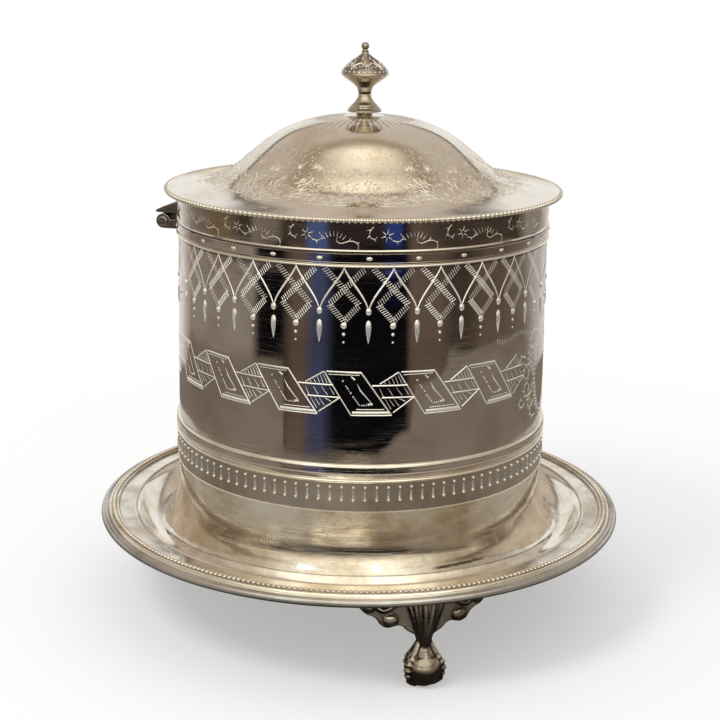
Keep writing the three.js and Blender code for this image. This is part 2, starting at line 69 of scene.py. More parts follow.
def rounded(points, steps=5):
    """A smooth line through (radius, height) points, with a few steps between each pair."""
    line = [Vector(points[0])]
    for before, start, end, after in spans(points):
        first = start + (end - before) / 6
        second = end - (after - start) / 6
        line += interpolate_bezier(start, first, second, end, steps + 1)[1:]
    return [tuple(point) for point in line]


def beside(line, distance):
    """The same line moved sideways, to the right of its own direction."""
    moved = []
    for i, (radius, height) in enumerate(line):
        before, after = line[max(i - 1, 0)], line[min(i + 1, len(line) - 1)]
        along = Vector((after[0] - before[0], after[1] - before[1])).normalized()
        moved.append((radius + along.y * distance, height - along.x * distance))
    return moved


def turned(outline, steps):
    """A closed solid spun about the Z axis from an outline of (radius, height) in millimetres."""
    mesh = bmesh.new()
    corners = [mesh.verts.new((max(radius, 0) * mm, 0, height * mm)) for radius, height in outline]
    pairs = list(zip(corners, corners[1:]))
    if outline[0][0] > 0:
        pairs.append((corners[-1], corners[0]))
    edges = [mesh.edges.new(pair) for pair in pairs]
    bmesh.ops.spin(mesh, geom=corners + edges, cent=(0, 0, 0), axis=(0, 0, 1),
                   angle=2 * math.pi, steps=steps, use_merge=True)
    bmesh.ops.remove_doubles(mesh, verts=mesh.verts, dist=0.001 * mm)
    bmesh.ops.recalc_face_normals(mesh, faces=mesh.faces)
    return mesh


def stored(name, mesh):
    """The mesh as data that an object can show."""
    data = bpy.data.meshes.new(name)
    mesh.to_mesh(data)
    mesh.free()
    return data


def placed(name, data):
    """A new object in the scene."""
    item = bpy.data.objects.new(name, data)
    bpy.context.scene.collection.objects.link(item)
    return item


def finished(name, mesh, material, body, replaced=(), crease=35):
    """Puts a mesh in the scene as a smooth piece that rides on a body."""
    data = stored(name, mesh)
    data.shade_smooth()
    data.set_sharp_from_angle(angle=math.radians(crease))
    data.materials.append(material)
    piece = placed(name, data)
    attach(piece, body)
    if replaced:
        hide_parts(*replaced)
    return piece


class Shade:
    """A shader socket that takes part in Python arithmetic."""

    def __init__(self, tree, socket=None):
        self.tree = tree
        self.socket = socket

    def node(self, kind, settings, inputs, output=0):
        """Adds a node of any type and gives back one of its outputs, if it has any."""
        node = self.tree.nodes.new(kind)
        for name, value in settings.items():
            if name == "stops":
                for _ in value[2:]:
                    node.color_ramp.elements.new(0.5)
                for stop, (place, colour) in zip(node.color_ramp.elements, value):
                    stop.position = place
                    stop.color = (*colour, 1)
            else:
                setattr(node, name, value)
        for name, value in inputs.items():
            if isinstance(value, Shade):
                self.tree.links.new(value.socket, node.inputs[name])
            else:
                node.inputs[name].default_value = value
        return Shade(self.tree, node.outputs[output] if node.outputs else None)

    def maths(self, operation, *values):
        return self.node("ShaderNodeMath", {"operation": operation}, dict(enumerate(values)))

    def __add__(self, other):
        return self.maths("ADD", self, other)

    def __sub__(self, other):
        return self.maths("SUBTRACT", self, other)

    def __rsub__(self, other):
        return self.maths("SUBTRACT", other, self)

    def __mul__(self, other):
        return self.maths("MULTIPLY", self, other)

    def __truediv__(self, other):
        return self.maths("DIVIDE", self, other)

    def __pow__(self, other):
        return self.maths("POWER", self, other)

    def over(self, low, high):
        """0 below low, 1 above high, and an even slope between them."""
        return self.node("ShaderNodeMapRange", {"clamp": True}, {
            "Value": self, "From Min": low, "From Max": high})

    def near(self, place, inner, outer):
        """1 within inner of a place, 0 beyond outer, and an even slope between them."""
        off = self - place
        return 1 - off.maths("ABSOLUTE", off).over(inner, outer)

    def mix(self, first, second):
        """A colour that goes from first to second as this mask goes from 0 to 1."""
        inputs = {0: self}
        for place, colour in ((6, first), (7, second)):
            inputs[place] = colour if isinstance(colour, Shade) else (*colour, 1)
        return self.node("ShaderNodeMix", {"data_type": "RGBA"}, inputs, output=2)

    def noise(self, scale, detail, roughness=0.55):
        """A cloudy pattern of 0 to 1 on a vector."""
        return self.node("ShaderNodeTexNoise", {}, {
            "Vector": self, "Scale": scale, "Detail": detail, "Roughness": roughness})

    def parts(self):
        """The three numbers of a vector."""
        node = self.tree.nodes.new("ShaderNodeSeparateXYZ")
        self.tree.links.new(self.socket, node.inputs[0])
        return [Shade(self.tree, output) for output in node.outputs]

    def bearing(self):
        """Which way a place lies from the Z axis, in degrees from -Y towards +X."""
        x, y, _ = self.parts()
        return x.maths("ARCTAN2", x, y * -1) * (180 / math.pi)


def silver(name, clean, tarnish, grime_and_shade, shine, film, waves, streaks=1.0, grime_and_shade_where=None, frost=0.0):
    """Silver plate rubbed for a century: clean metal on the worn places, a film of tarnish in clouds,
    dark dirt in fine pits, faint rings from spinning, and scratches. An optional mask puts the same
    dark colour in more places: dirt, and on the stand, its beads and the barrel, painted crease shade.
    The waves' depth is in millimetres."""
    material = bpy.data.materials.new(name)
    material.use_nodes = True
    tree = material.node_tree
    shader = tree.nodes["Principled BSDF"]
    base = Shade(tree)
    place = base.node("ShaderNodeTexCoord", {}, {}, output=3)
    x, y, z = place.parts()
    radius = (x * x + y * y + 1e-8) ** 0.5
    spun = base.node("ShaderNodeCombineXYZ", {}, {
        0: x / radius * 0.35, 1: y / radius * 0.35, 2: (z + radius) * 24})
    clouds = place.noise(34, 5, 0.6).over(0.5 - film, 0.78 - film)
    mottle = place.noise(210, 4, 0.65)
    pits = place.noise(900, 3, 0.6).over(0.62, 0.74)
    rings = spun.noise(18, 3, 0.6)
    lean = base.node("ShaderNodeMapping", {}, {
        "Vector": place, "Rotation": (0.5, 0.7, 0.4), "Scale": (20, 20, 900)})
    cross = base.node("ShaderNodeMapping", {}, {
        "Vector": place, "Rotation": (-0.8, 0.3, 1.1), "Scale": (26, 26, 1100)})
    scratches = lean.noise(1, 2).near(0.5, 0, 0.012)
    marks = scratches.maths("MAXIMUM", scratches, cross.noise(1, 2).near(0.46, 0, 0.01))
    stain = clouds * (mottle * 0.7 + 0.55) + rings.over(0.52, 0.8) * streaks * 0.55
    colour = stain.over(0, 1).mix(clean, tarnish)
    dirt_and_shade = pits * clouds * 0.5
    # The optional mask: dirt, and on some pieces painted shade along creases and between parts.
    if grime_and_shade_where:
        dirt_and_shade = dirt_and_shade.maths("MAXIMUM", dirt_and_shade, grime_and_shade_where(base, radius, z) * (mottle * 0.8 + 0.5))
    colour = dirt_and_shade.over(0, 1).mix(colour, grime_and_shade)
    rough = (clouds * 0.07 + mottle * 0.05 + rings * 0.04 * streaks + marks * 0.08 + dirt_and_shade * 0.2
             + (shine - 0.05))
    tree.links.new(colour.socket, shader.inputs["Base Color"])
    tree.links.new(rough.socket, shader.inputs["Roughness"])
    shader.inputs["Metallic"].default_value = 1.0 - frost
    dents = place.noise(26, 2, 0.5)
    soft = base.node("ShaderNodeBump", {}, {"Strength": 1.0, "Distance": waves * mm, "Height": dents})
    close = base.node("ShaderNodeBump", {}, {
        "Strength": 1.0, "Distance": 0.008 * mm, "Normal": soft,
        "Height": mottle + rings * 0.8 * streaks - marks * (0.1 + 0.4 * streaks)})
    tree.links.new(close.socket, shader.inputs["Normal"])
    return material


def stand_grime_and_shade(base, radius, z):
    """Polish and dust left along the steps of the stand's border, and painted crease shade along them."""
    step = radius.near(stand_step_place * mm, 0.05 * mm, 0.5 * mm)
    thread = radius.near(stand_thread_place * mm, 0.1 * mm, 0.5 * mm)
    return step.maths("MAXIMUM", step, thread * 0.8)


stand_silver = silver("stand_silver", bright_clean, bright_tarnish, bright_grime_and_shade,
                      shine=0.11, film=0.06, waves=0.4, grime_and_shade_where=stand_grime_and_shade)
dish_line = rounded(stand_dish)[1:]
stand_top = stand_floor + dish_line + stand_shelf + rounded(stand_channel, 3) + stand_slope
stand_under = beside(stand_floor + dish_line + [(98.5, 40.2), (105.0, 40.3)], stand_sheet)
stand_under += [(106.2, 38.6), (106.75, 38.1)]
finished("stand", turned(stand_top + stand_under[::-1], stand_steps), stand_silver,
         "base", ["stand_dish"])


# The rolled edge of the stand: the sheet's rim is turned over a stout wire all round. Its silver is
# painted colder, greyer and darker than the dish's, as painted shade for the darker room it mirrors.
rim_wire_place = 107.75
rim_wire_height = 38.6
rim_wire_radius = 1.62
rim_wire_sides = 24


def ring(place, height, across, up, sides, steps):
    """A wire of oval section bent to a ring."""
    outline = []
    for i in range(sides):
        turn = 2 * math.pi * i / sides
        outline.append((place + math.cos(turn) * across, height + math.sin(turn) * up))
    return turned(outline, steps)


rim_silver = silver("rim_silver", (0.61, 0.60, 0.585), (0.36, 0.335, 0.295), (0.12, 0.09, 0.06),
                    shine=0.14, film=0.08, waves=0.1)
finished("stand_rim", ring(rim_wire_place, rim_wire_height, rim_wire_radius, rim_wire_radius,
                           rim_wire_sides, stand_steps),
         rim_silver, "base", ["stand_rim_wire"])


# The stand's bead border: a length of stamped bead wire soldered into its channel, worn so
# that the beads run into one another.
stand_bead_count = 320
stand_bead_place = 104.05
stand_bead_seat = 41.3
stand_bead_size = (1.1, 0.88, 0.95)
channel_floor = 41.35


def beads(count, place, height, size, start=0.0):
    """A ring of beads, each an oval ball of (radial, along, up) half sizes."""
    mesh = bmesh.new()
    seat = Matrix.Rotation(start, 4, "Z") @ Matrix.Translation((place * mm, 0, height * mm))
    bmesh.ops.create_icosphere(mesh, subdivisions=2, radius=1,
                               matrix=seat @ Matrix.Diagonal((*(Vector(size) * mm), 1)))
    bmesh.ops.spin(mesh, geom=mesh.faces[:], cent=(0, 0, 0), axis=(0, 0, 1), use_duplicate=True,
                   angle=2 * math.pi * (count - 1) / count, steps=count - 1)
    return mesh


def joined(*meshes):
    """Several meshes as one."""
    whole = bmesh.new()
    for mesh in meshes:
        part = stored("part", mesh)
        whole.from_mesh(part)
        bpy.data.meshes.remove(part)
    return whole


def bead_grime_and_shade(base, radius, z):
    """Polish and tarnish packed between the beads, low in the border's channel, with painted shade there
    too.
    """
    return 1 - z.over(channel_floor * mm, (channel_floor + 0.45) * mm)


bead_silver = silver("bead_silver", (0.92, 0.875, 0.79), (0.68, 0.58, 0.43), (0.14, 0.10, 0.06),
                     shine=0.12, film=0.02, waves=0.05, streaks=0.0)
# The stand's beads: tarnish and painted shade darken them low in the channel, between the beads.
worn_and_shaded_silver = silver("worn_and_shaded_silver", (0.92, 0.875, 0.79), (0.60, 0.50, 0.36), (0.13, 0.095, 0.06),
                     shine=0.13, film=0.06, waves=0.05, streaks=0.0, grime_and_shade_where=bead_grime_and_shade)
stand_beads = joined(
    beads(stand_bead_count, stand_bead_place, stand_bead_seat, stand_bead_size),
    ring(stand_bead_place, stand_bead_seat - 0.15, 1.2, 0.5, 8, stand_steps))
finished("stand_beads", stand_beads, worn_and_shaded_silver, "base", ["stand_bead_wire"])


# The cove: a spun collar that leaves the barrel just under the pin border, flares down to the
# stand's floor in one smooth sweep and is soldered to both.
cove_line = [(76.26, 63.9), (76.34, 60.0), (76.45, 57.0), (76.62, 54.0), (76.86, 51.0), (77.24, 47.0),
             (77.72, 44.0), (78.36, 41.2), (79.1, 38.5), (80.0, 36.3), (81.25, 34.5), (82.6, 33.5),
             (83.8, 33.05), (84.3, 32.9)]
streak_height = 38.4
streak_bearing = 45
streak_half_length = (6.5, 9.5)
streak_half_width = (0.35, 0.7)


def cove_grime(base, radius, z):
    """A dark streak of old polish low on the cove, on the side towards the cartouche."""
    place = base.node("ShaderNodeTexCoord", {}, {}, output=3)
    wavering = z * (1 / mm) + (place.noise(260, 3) - 0.5) * 0.9
    along = place.bearing().near(streak_bearing, *streak_half_length)
    return along * wavering.near(streak_height, *streak_half_width) * 0.95


cove_silver = silver("cove_silver", (0.95, 0.915, 0.84), (0.60, 0.49, 0.34), (0.045, 0.036, 0.028),
                     shine=0.08, film=0.1, waves=0.4, streaks=0.8, grime_and_shade_where=cove_grime)
cove = turned([(76.1, 63.9)] + rounded(cove_line) + [(76.6, 32.9)], stand_steps)
finished("cove", cove, cove_silver, "base", ["base_cove"])


# The barrel: a seamed cylinder of plated sheet, a little narrower at its top, with a disc
# soldered in for its floor and a guide ring for the lid inside its mouth.
barrel_foot = (76.6, 33.3)
barrel_top = (75.0, 161.1)
barrel_sheet = 1.0
barrel_steps = 288
barrel_rows = 24
step_grime_and_shade_height = 77.0
wire_grime_and_shade_heights = (80.5, 155.6)
floor_line = [(0, 33.3), (75.2, 33.3), (75.2, 33.8), (74.6, 34.3), (0, 34.3)]
guide_line = [(73.7, 149.1), (73.7, 164.8), (73.45, 165.1), (72.95, 165.1), (72.7, 164.8), (72.7, 149.1)]
mirror_clean = (0.82, 0.78, 0.72)
mirror_tarnish = (0.58, 0.515, 0.44)
mirror_grime_and_shade = (0.10, 0.08, 0.065)


def barrel_radius(height):
    """Radius of the barrel's outside at a height in millimetres."""
    share = (height - barrel_foot[1]) / (barrel_top[1] - barrel_foot[1])
    return barrel_foot[0] + (barrel_top[0] - barrel_foot[0]) * share


def barrel_grime_and_shade(base, radius, z):
    """Grime and painted crease shade beside the wires and mouldings that cross the barrel."""
    lines = z.near(step_grime_and_shade_height * mm, 0.1 * mm, 1.2 * mm)
    for height in wire_grime_and_shade_heights:
        lines = lines.maths("MAXIMUM", lines, z.near(height * mm, 0.1 * mm, 0.8 * mm))
    return lines * 0.7


mirror_silver = silver("mirror_silver", mirror_clean, mirror_tarnish, mirror_grime_and_shade,
                       shine=0.035, film=0.06, waves=0.3, streaks=0.12, grime_and_shade_where=barrel_grime_and_shade)
inside_silver = silver("inside_silver", (0.66, 0.60, 0.50), (0.45, 0.36, 0.24), (0.2, 0.15, 0.1),
                       shine=0.34, film=0.1, waves=0.1)
barrel_heights = [barrel_foot[1] + (barrel_top[1] - barrel_foot[1]) * i / barrel_rows
                  for i in range(barrel_rows + 1)]
barrel_line = [(barrel_radius(height), height) for height in barrel_heights]
barrel_line += [(radius - barrel_sheet, height) for radius, height in barrel_line[::-1]]
barrel = finished("barrel", turned(barrel_line, barrel_steps), mirror_silver, "base",
                  ["body_wall"])
barrel.data.materials.append(inside_silver)
for face in barrel.data.polygons:
    if face.normal.xy.dot(face.center.xy) < 0:
        face.material_index = 1
finished("barrel_floor", turned(floor_line, barrel_steps), inside_silver, "base",
         ["body_floor"])
finished("lid_guide", turned(guide_line, barrel_steps), inside_silver, "base",
         ["bezel_ring"])


# The applied mouldings: two bright wires and a rounded step, drawn and soldered round the
# barrel.
wire_radius = 0.58
wire_reach = 0.9
base_wire_height = 74.3
shoulder_wire_height = 156.5
step_bottom = 77.55
step_height = 3.3

wire_silver = silver("wire_silver", (0.92, 0.88, 0.81), (0.68, 0.60, 0.48), (0.2, 0.15, 0.1),
                     shine=0.09, film=-0.02, waves=0.08)
for name, node, height in (("base_ring", "base_wire", base_wire_height),
                           ("shoulder_ring", "shoulder_wire", shoulder_wire_height)):
    wire = ring(barrel_radius(height) + 0.05, height, wire_reach, wire_radius, 14, barrel_steps)
    finished(name, wire, wire_silver, "base", [node])
step_line = [(barrel_radius(step_bottom + step_height), 80.85), (76.4, 80.75), (76.75, 80.4),
             (76.97, 79.85), (77.05, 79.2), (77.11, 78.0), (77.16, 77.2), (76.95, 76.85),
             (barrel_radius(step_bottom), 76.8)]
finished("base_step", turned(rounded(step_line, 3), barrel_steps), wire_silver, "base",
         ["base_moulding"])


# The pin border: a stamped strip soldered under the lower wire, with a row of dots, a row of
# hanging pins and a fine beaded lower edge.
border_repeats = 108
border_foot = 61.9
border_proud = 0.28
border_pitch = 2 * math.pi * barrel_radius(68) / border_repeats
border_edge_beads = 4
dot_height = 71.75
pin_ends = (70.4, 66.9)
slice_pitch = 2.3


def sliced(mesh, axis):
    """Cuts a flat drawing at even steps along an axis, so that its long lines can follow a curve."""
    places = [corner.co[axis] for corner in mesh.verts]
    for i in range(1, int((max(places) - min(places)) / (slice_pitch * mm)) + 1):
        middle, facing = Vector(), Vector()
        middle[axis] = min(places) + i * slice_pitch * mm
        facing[axis] = 1
        bmesh.ops.bisect_plane(mesh, geom=mesh.verts[:] + mesh.edges[:] + mesh.faces[:], dist=0.0001 * mm,
                               plane_co=middle, plane_no=facing)
    return mesh


def wrapped(mesh, radius_at):
    """Bends a flat drawing round an upright wall: x runs round it, z up it, and -y out of it."""
    for corner in sliced(mesh, 0).verts:
        across, out, up = corner.co
        wall = radius_at(up / mm) * mm
        angle = across / wall
        corner.co = ((wall - out) * math.sin(angle), (out - wall) * math.cos(angle), up)
    return mesh


def repeated(mesh, count, made=0):
    """The same mesh at every step of a full turn about the Z axis, or at the first few steps."""
    copies = (made or count) - 1
    bmesh.ops.spin(mesh, geom=mesh.faces[:], cent=(0, 0, 0), axis=(0, 0, 1), use_duplicate=True,
                   angle=2 * math.pi * copies / count, steps=copies)
    return mesh


def swung(mesh, degrees):
    """A mesh turned about the Z axis."""
    bmesh.ops.rotate(mesh, verts=mesh.verts, cent=(0, 0, 0),
                     matrix=Matrix.Rotation(math.radians(degrees), 3, "Z"))
    return mesh


def bead(mesh, across, height, size, detail=2):
    """A raised oval bead in a flat drawing, by its (across, out, up) half sizes."""
    seat = Matrix.Translation(Vector((across, 0, height)) * mm)
    bmesh.ops.create_icosphere(mesh, subdivisions=detail, radius=1,
                               matrix=seat @ Matrix.Diagonal((*(Vector(size) * mm), 1)))


def cut(mesh, start, end, width, proud, ends=(1, 1)):
    """One bright cut in a flat drawing: a bar with a ridge, from one point to another."""
    across, up = end[0] - start[0], end[1] - start[1]
    middle = Vector(((start[0] + end[0]) / 2, 0, (start[1] + end[1]) / 2)) * mm
    size = Vector((width / 2, proud, math.hypot(across, up))) * mm
    turn = Matrix.Rotation(math.atan2(across, up), 4, "Y")
    bmesh.ops.create_cone(mesh, cap_ends=True, segments=4, radius1=ends[0], radius2=ends[1], depth=1,
                          matrix=Matrix.Translation(middle) @ turn @ Matrix.Diagonal((*size, 1)))


border = bmesh.new()
bead(border, 0, dot_height, (0.6, 0.72, 0.6))
cut(border, (0, pin_ends[0]), (0, pin_ends[1]), 1.15, 0.75, ends=(0.55, 1))
bead(border, 0, pin_ends[1] - 0.15, (0.7, 0.8, 0.72))
for i in range(border_edge_beads):
    across = (i + 0.5 - border_edge_beads / 2) * border_pitch / border_edge_beads
    bead(border, across, border_foot + 0.1, (0.42, 0.42, 0.4), detail=1)
border = repeated(wrapped(border, lambda height: barrel_radius(height) + border_proud), border_repeats)
strip = turned([(barrel_radius(border_foot), border_foot), (barrel_radius(62.1) + border_proud, 62.1),
                (barrel_radius(73.2) + border_proud, 73.2), (barrel_radius(73.3), 73.3)], barrel_steps)
border_silver = silver("border_silver", (0.52, 0.475, 0.42), (0.34, 0.29, 0.23), (0.11, 0.09, 0.07),
                       shine=0.3, film=0.14, waves=0.1, streaks=0.0)
pin_silver = silver("pin_silver", (0.90, 0.85, 0.77), (0.68, 0.59, 0.46), (0.2, 0.15, 0.1),
                    shine=0.15, film=-0.02, waves=0.05, streaks=0.0, frost=0.22)
finished("border_strip_ground", strip, border_silver, "base", ["border_strip"])
finished("border_pins", border, pin_silver, "base", ["border_strip"], crease=60)


# The rim band: a plain strip round the barrel's mouth, with a small oval boss above the point
# of every arch.
arch_count = 26
arch_turn = 16.95
band_radius = 75.8
boss_height = 159.35
boss_size = (1.25, 0.5, 0.75)
band_line = [(75.05, 157.75), (75.65, 157.75), (band_radius, 157.9), (band_radius, 160.95),
             (75.65, 161.1), (75.05, 161.1)]
finished("rim_band_plain", turned(band_line, barrel_steps), mirror_silver, "base",
         ["rim_band"])
bosses = bmesh.new()
bead(bosses, 0, boss_height, boss_size)
bosses = swung(repeated(wrapped(bosses, lambda height: band_radius - 0.1), arch_count), arch_turn)
finished("rim_bosses", bosses, pin_silver, "base", ["rim_band"], crease=60)


# The engraved arches under the rim: crossing double rows of wriggled cuts that make a lozenge
# under every crossing, ogee lines between them, and punched beads and petals.
arch_half = math.pi * barrel_radius(145) / arch_count
wriggle_pitch = 0.98
wriggle_gap = 1.2
wriggle_reach = 1.05
wriggle_width = 0.36
cut_proud = 0.15
lozenge_corner = (arch_half + 5.6, 142.0)
petal_half = (1.45, 0.5, 4.4)
petal_height = 131.9


def wriggled(mesh, start, end):
    """Two rows of short cuts that lie across the line from start to end."""
    start, end = Vector(start), Vector(end)
    along = (end - start).normalized()
    side = Vector((-along.y, along.x))
    count = max(round((end - start).length / wriggle_pitch), 1)
    for i in range(count):
        for row in (-0.5, 0.5):
            centre = start.lerp(end, (i + 0.5 + row * 0.4) / count) + side * row * wriggle_gap
            tip = side * wriggle_reach / 2 + along * 0.13
            cut(mesh, centre - tip, centre + tip, wriggle_width, cut_proud, ends=(0.55, 1))


def curved(mesh, start, lean_start, lean_end, end, width, proud, steps=8):
    """A smooth engraved line with a given lean at either end, thickest in its middle."""
    knots = [Vector((*point, 0)) for point in (start, lean_start, lean_end, end)]
    line = [point.xy for point in interpolate_bezier(*knots, steps + 1)]
    for i, (first, second) in enumerate(zip(line, line[1:])):
        swell = 0.65 + 0.35 * math.sin(math.pi * (i + 0.5) / steps)
        overlap = (second - first) * 0.08
        cut(mesh, first - overlap, second + overlap, width * swell, proud)


arch = bmesh.new()
for side in (-1, 1):
    corner = (side * lozenge_corner[0], lozenge_corner[1])
    wriggled(arch, (side * 1.5, 155.6), corner)
    wriggled(arch, corner, (side * arch_half, 135.8))
    curved(arch, (side * arch_half, 155.7), (side * 8.0, 152.2), (side * 1.7, 145.7), (side * 0.4, 141.2),
           0.7, cut_proud)
bead(arch, 0, 139.6, (1.05, 0.6, 1.45))
bead(arch, arch_half, 134.2, (1.15, 0.55, 1.25))
bead(arch, arch_half, 130.9, (0.65, 0.35, 0.62))
bead(arch, arch_half, 127.9, (0.42, 0.25, 0.42))
petal = bmesh.new()
bmesh.ops.create_uvsphere(petal, u_segments=14, v_segments=12, radius=1)
for corner in petal.verts:
    corner.co.x *= 0.62 + 0.38 * corner.co.z
bmesh.ops.transform(petal, verts=petal.verts, matrix=Matrix.Translation((0, 0, petal_height * mm))
                    @ Matrix.Diagonal((*(Vector(petal_half) * mm), 1)))
arch = swung(repeated(wrapped(joined(arch, petal), barrel_radius), arch_count), arch_turn)
cut_silver = silver("cut_silver", (0.97, 0.95, 0.91), (0.80, 0.74, 0.65), (0.3, 0.25, 0.2),
                    shine=0.24, film=-0.05, waves=0.02, streaks=0.0, frost=0.22)
finished("engraved_arches", arch, cut_silver, "base", crease=20)


# The engraved ribbon band: slanted frames with broad bright cuts above and below, joined by a
# folded ribbon with hatching. It leaves out the part where the front cartouche sits.
frame_count = 17
frames_made = 15
frame_start = 110.5
frame_top = 116.5
frame_foot = 100.1
frame_pitch = 2 * math.pi * barrel_radius(108.5) / frame_count

ribbon = bmesh.new()
for start, end, width, proud, ends in (
        ((0, frame_top), (10.2, frame_foot), 0.42, 0.13, (1, 1)),
        ((13.8, frame_top), (25.4, frame_foot), 0.55, 0.16, (1, 1)),
        ((0.9, frame_top + 0.1), (13.9, frame_top - 0.1), 0.8, 0.16, (0.7, 1)),
        ((1.8, frame_top - 1.0), (13.2, frame_top - 1.0), 0.26, 0.06, (1, 1)),
        ((10.7, 101.0), (24.7, 101.0), 1.1, 0.18, (1, 1)),
        ((10.2, frame_foot - 0.1), (25.5, frame_foot - 0.1), 0.4, 0.14, (1, 1)),
        ((12.2, 102.3), (22.6, 102.3), 0.3, 0.07, (1, 1)),
        ((11.4, 106.6), (13.4, 103.8), 0.3, 0.09, (1, 1)),
        ((10.1, 114.9), (11.5, 113.7), 0.75, 0.16, (0.6, 1)),
        ((12.4, 112.1), (13.8, 109.3), 0.55, 0.12, (0.2, 1)),
        ((13.7, 109.5), (17.7, 104.9), 0.5, 0.12, (1, 0.5)),
        ((16.2, 104.5), (18.2, 104.3), 1.0, 0.16, (0.2, 1)),
        ((18.0, 111.5), (31.4, 111.5), 0.55, 0.16, (1, 1)),
        ((21.7, 106.9), (34.2, 106.8), 0.55, 0.16, (1, 0.8)),
        ((20.8, 112.1), (frame_pitch - 0.2, frame_top), 0.45, 0.14, (1, 1)),
        ((34.2, 106.9), (26.0, 101.0), 0.45, 0.14, (1, 1))):
    cut(ribbon, start, end, width, proud, ends)
for across, height, size in (
        (7.1, 113.1, 0.36), (8.3, 111.1, 0.3), (8.9, 110.3, 0.36), (9.4, 109.4, 0.22), (10.1, 108.6, 0.36),
        (11.0, 107.1, 0.34), (14.2, 103.9, 0.28), (15.0, 103.9, 0.32), (15.9, 103.9, 0.28),
        (16.8, 104.0, 0.34)):
    bead(ribbon, across, height, (size, 0.2, size), detail=1)
hatching = (
    (20.8, 110.3, 22.2, 107.3), (23.9, 110.5, 25.7, 107.6), (27.0, 110.6, 29.3, 107.6),
    (30.0, 110.6, 31.8, 107.8), (22.9, 106.3, 25.2, 102.4), (24.5, 106.2, 26.3, 103.5),
    (26.2, 106.2, 28.2, 103.5), (28.1, 106.4, 30.6, 105.2), (22.6, 112.9, 23.0, 112.1),
    (23.9, 113.7, 24.7, 112.1), (25.2, 114.6, 26.3, 112.1), (26.4, 115.2, 27.7, 112.1),
    (27.5, 115.6, 29.1, 112.2), (28.6, 115.2, 30.2, 112.2))
for line in hatching:
    cut(ribbon, line[:2], line[2:], 0.28, 0.08, ends=(0.4, 1))
ribbon = swung(repeated(wrapped(ribbon, barrel_radius), frame_count, frames_made), frame_start)
finished("engraved_ribbon", ribbon, cut_silver, "base", crease=20)


# The front cartouche, opposite the hinge: a plain oval for initials inside a beaded line, with
# sprays of leaves to either side and a garland of short cuts above.
cartouche_turn = 90
cartouche_height = 104.5
cartouche_half = (11.5, 17.5)
cartouche_beads = 56
garland_cuts = 22


def towards(degrees):
    """A flat vector of length 1, by its angle above the line to the right."""
    turn = math.radians(degrees)
    return Vector((math.cos(turn), math.sin(turn)))


def scroll(mesh, place, heading, length, curl, width=0.4, proud=0.1, leaves=3, reach=2.2):
    """An engraved stem that curls ever tighter, with leaf cuts on its outer side. Angles in degrees."""
    place = Vector(place)
    step = 0.75
    count = round(length / step)
    for i in range(count):
        share = i / count
        ahead = place + towards(heading) * step
        cut(mesh, place, ahead, width * (1.1 - 0.6 * share), proud)
        if leaves and i % leaves == 1:
            tip = ahead + towards(heading - math.copysign(48, curl)) * reach * (1.1 - 0.7 * share)
            cut(mesh, tip, ahead, width * 1.3, proud, ends=(0.15, 1))
        heading += curl * step * (0.3 + 1.7 * share)
        place = ahead


def on_oval(step, size=1.0):
    """A place on the cartouche's oval after some of its bead steps, from the top."""
    turn = 2 * math.pi * step / cartouche_beads
    return (math.sin(turn) * cartouche_half[0] * size,
            cartouche_height + math.cos(turn) * cartouche_half[1] * size)


cartouche = bmesh.new()
for i in range(cartouche_beads):
    bead(cartouche, *on_oval(i), (0.5, 0.28, 0.5), detail=1)
    for size, width in ((0.9, 0.34), (1.1, 0.45)):
        cut(cartouche, on_oval(i, size), on_oval(i + 1.1, size), width, 0.11)
for side in (-1, 1):
    for across, height, heading, length, curl, reach in (
            (13.5, 104, 80, 24, -16, 3.0), (13.5, 103, -80, 22, 17, 3.0), (14.5, 110, 25, 15, 22, 2.6),
            (14.5, 98, -25, 14, -24, 2.6), (9, 122.5, 12, 18, -15, 2.4), (5, 124.5, 160, 9, -34, 1.8),
            (9, 87.5, -10, 16, 18, 2.4), (21, 113, 40, 10, -30, 1.8), (21, 95, -40, 10, 30, 1.8)):
        angle = heading if side > 0 else 180 - heading
        scroll(cartouche, (side * across, height), angle, length, curl * side, reach=reach)
    for i in range(garland_cuts):
        across = side * (13 + i * 1.35)
        height = 124.6 - 0.9 * math.sin(i * 0.45)
        cut(cartouche, (across, height), (across - 0.5 * side, height - 1.9 - 0.5 * (i % 2)), 0.36, 0.1,
            ends=(1, 0.3))
cartouche = swung(wrapped(cartouche, barrel_radius), cartouche_turn)
finished("engraved_cartouche", cartouche, cut_silver, "base", crease=20)


# The lid: a spun dome with a wide brim, an upright collar under it and a beaded wire round
# the brim.
brim_radius = 78.7
brim_height = 174.6
dome_rise = 28.6
lid_sheet = 1.0
lid_steps = 288
collar_radius = 75.3
lid_bead_count = 234
lid_bead_place = 79.75
lid_bead_height = 174.0
lid_bead_size = (1.0, 0.98, 1.0)
dome_shares = [(0.0, 1.004), (0.092, 1.0), (0.15, 0.988), (0.21, 0.965), (0.28, 0.925), (0.38, 0.832),
               (0.475, 0.69), (0.57, 0.49), (0.655, 0.293), (0.73, 0.158), (0.83, 0.076), (1, 0)]
dome_line = rounded([(brim_radius * across, brim_height + dome_rise * up) for across, up in dome_shares], 6)
lid_silver = silver("lid_silver", (0.88, 0.835, 0.755), (0.66, 0.555, 0.40), bright_grime_and_shade,
                    shine=0.11, film=0.02, waves=0.28, streaks=0.5)
dome = turned(dome_line + beside(dome_line, lid_sheet)[::-1], lid_steps)
finished("lid_dome_spun", dome, lid_silver, "lid", ["lid_dome"])
collar_line = [(74.3, 161.4), (75.5, 161.4), (75.78, 161.6), (75.84, 162.0), (75.66, 162.35),
               (collar_radius, 162.5), (collar_radius, 173.7), (74.3, 173.8)]
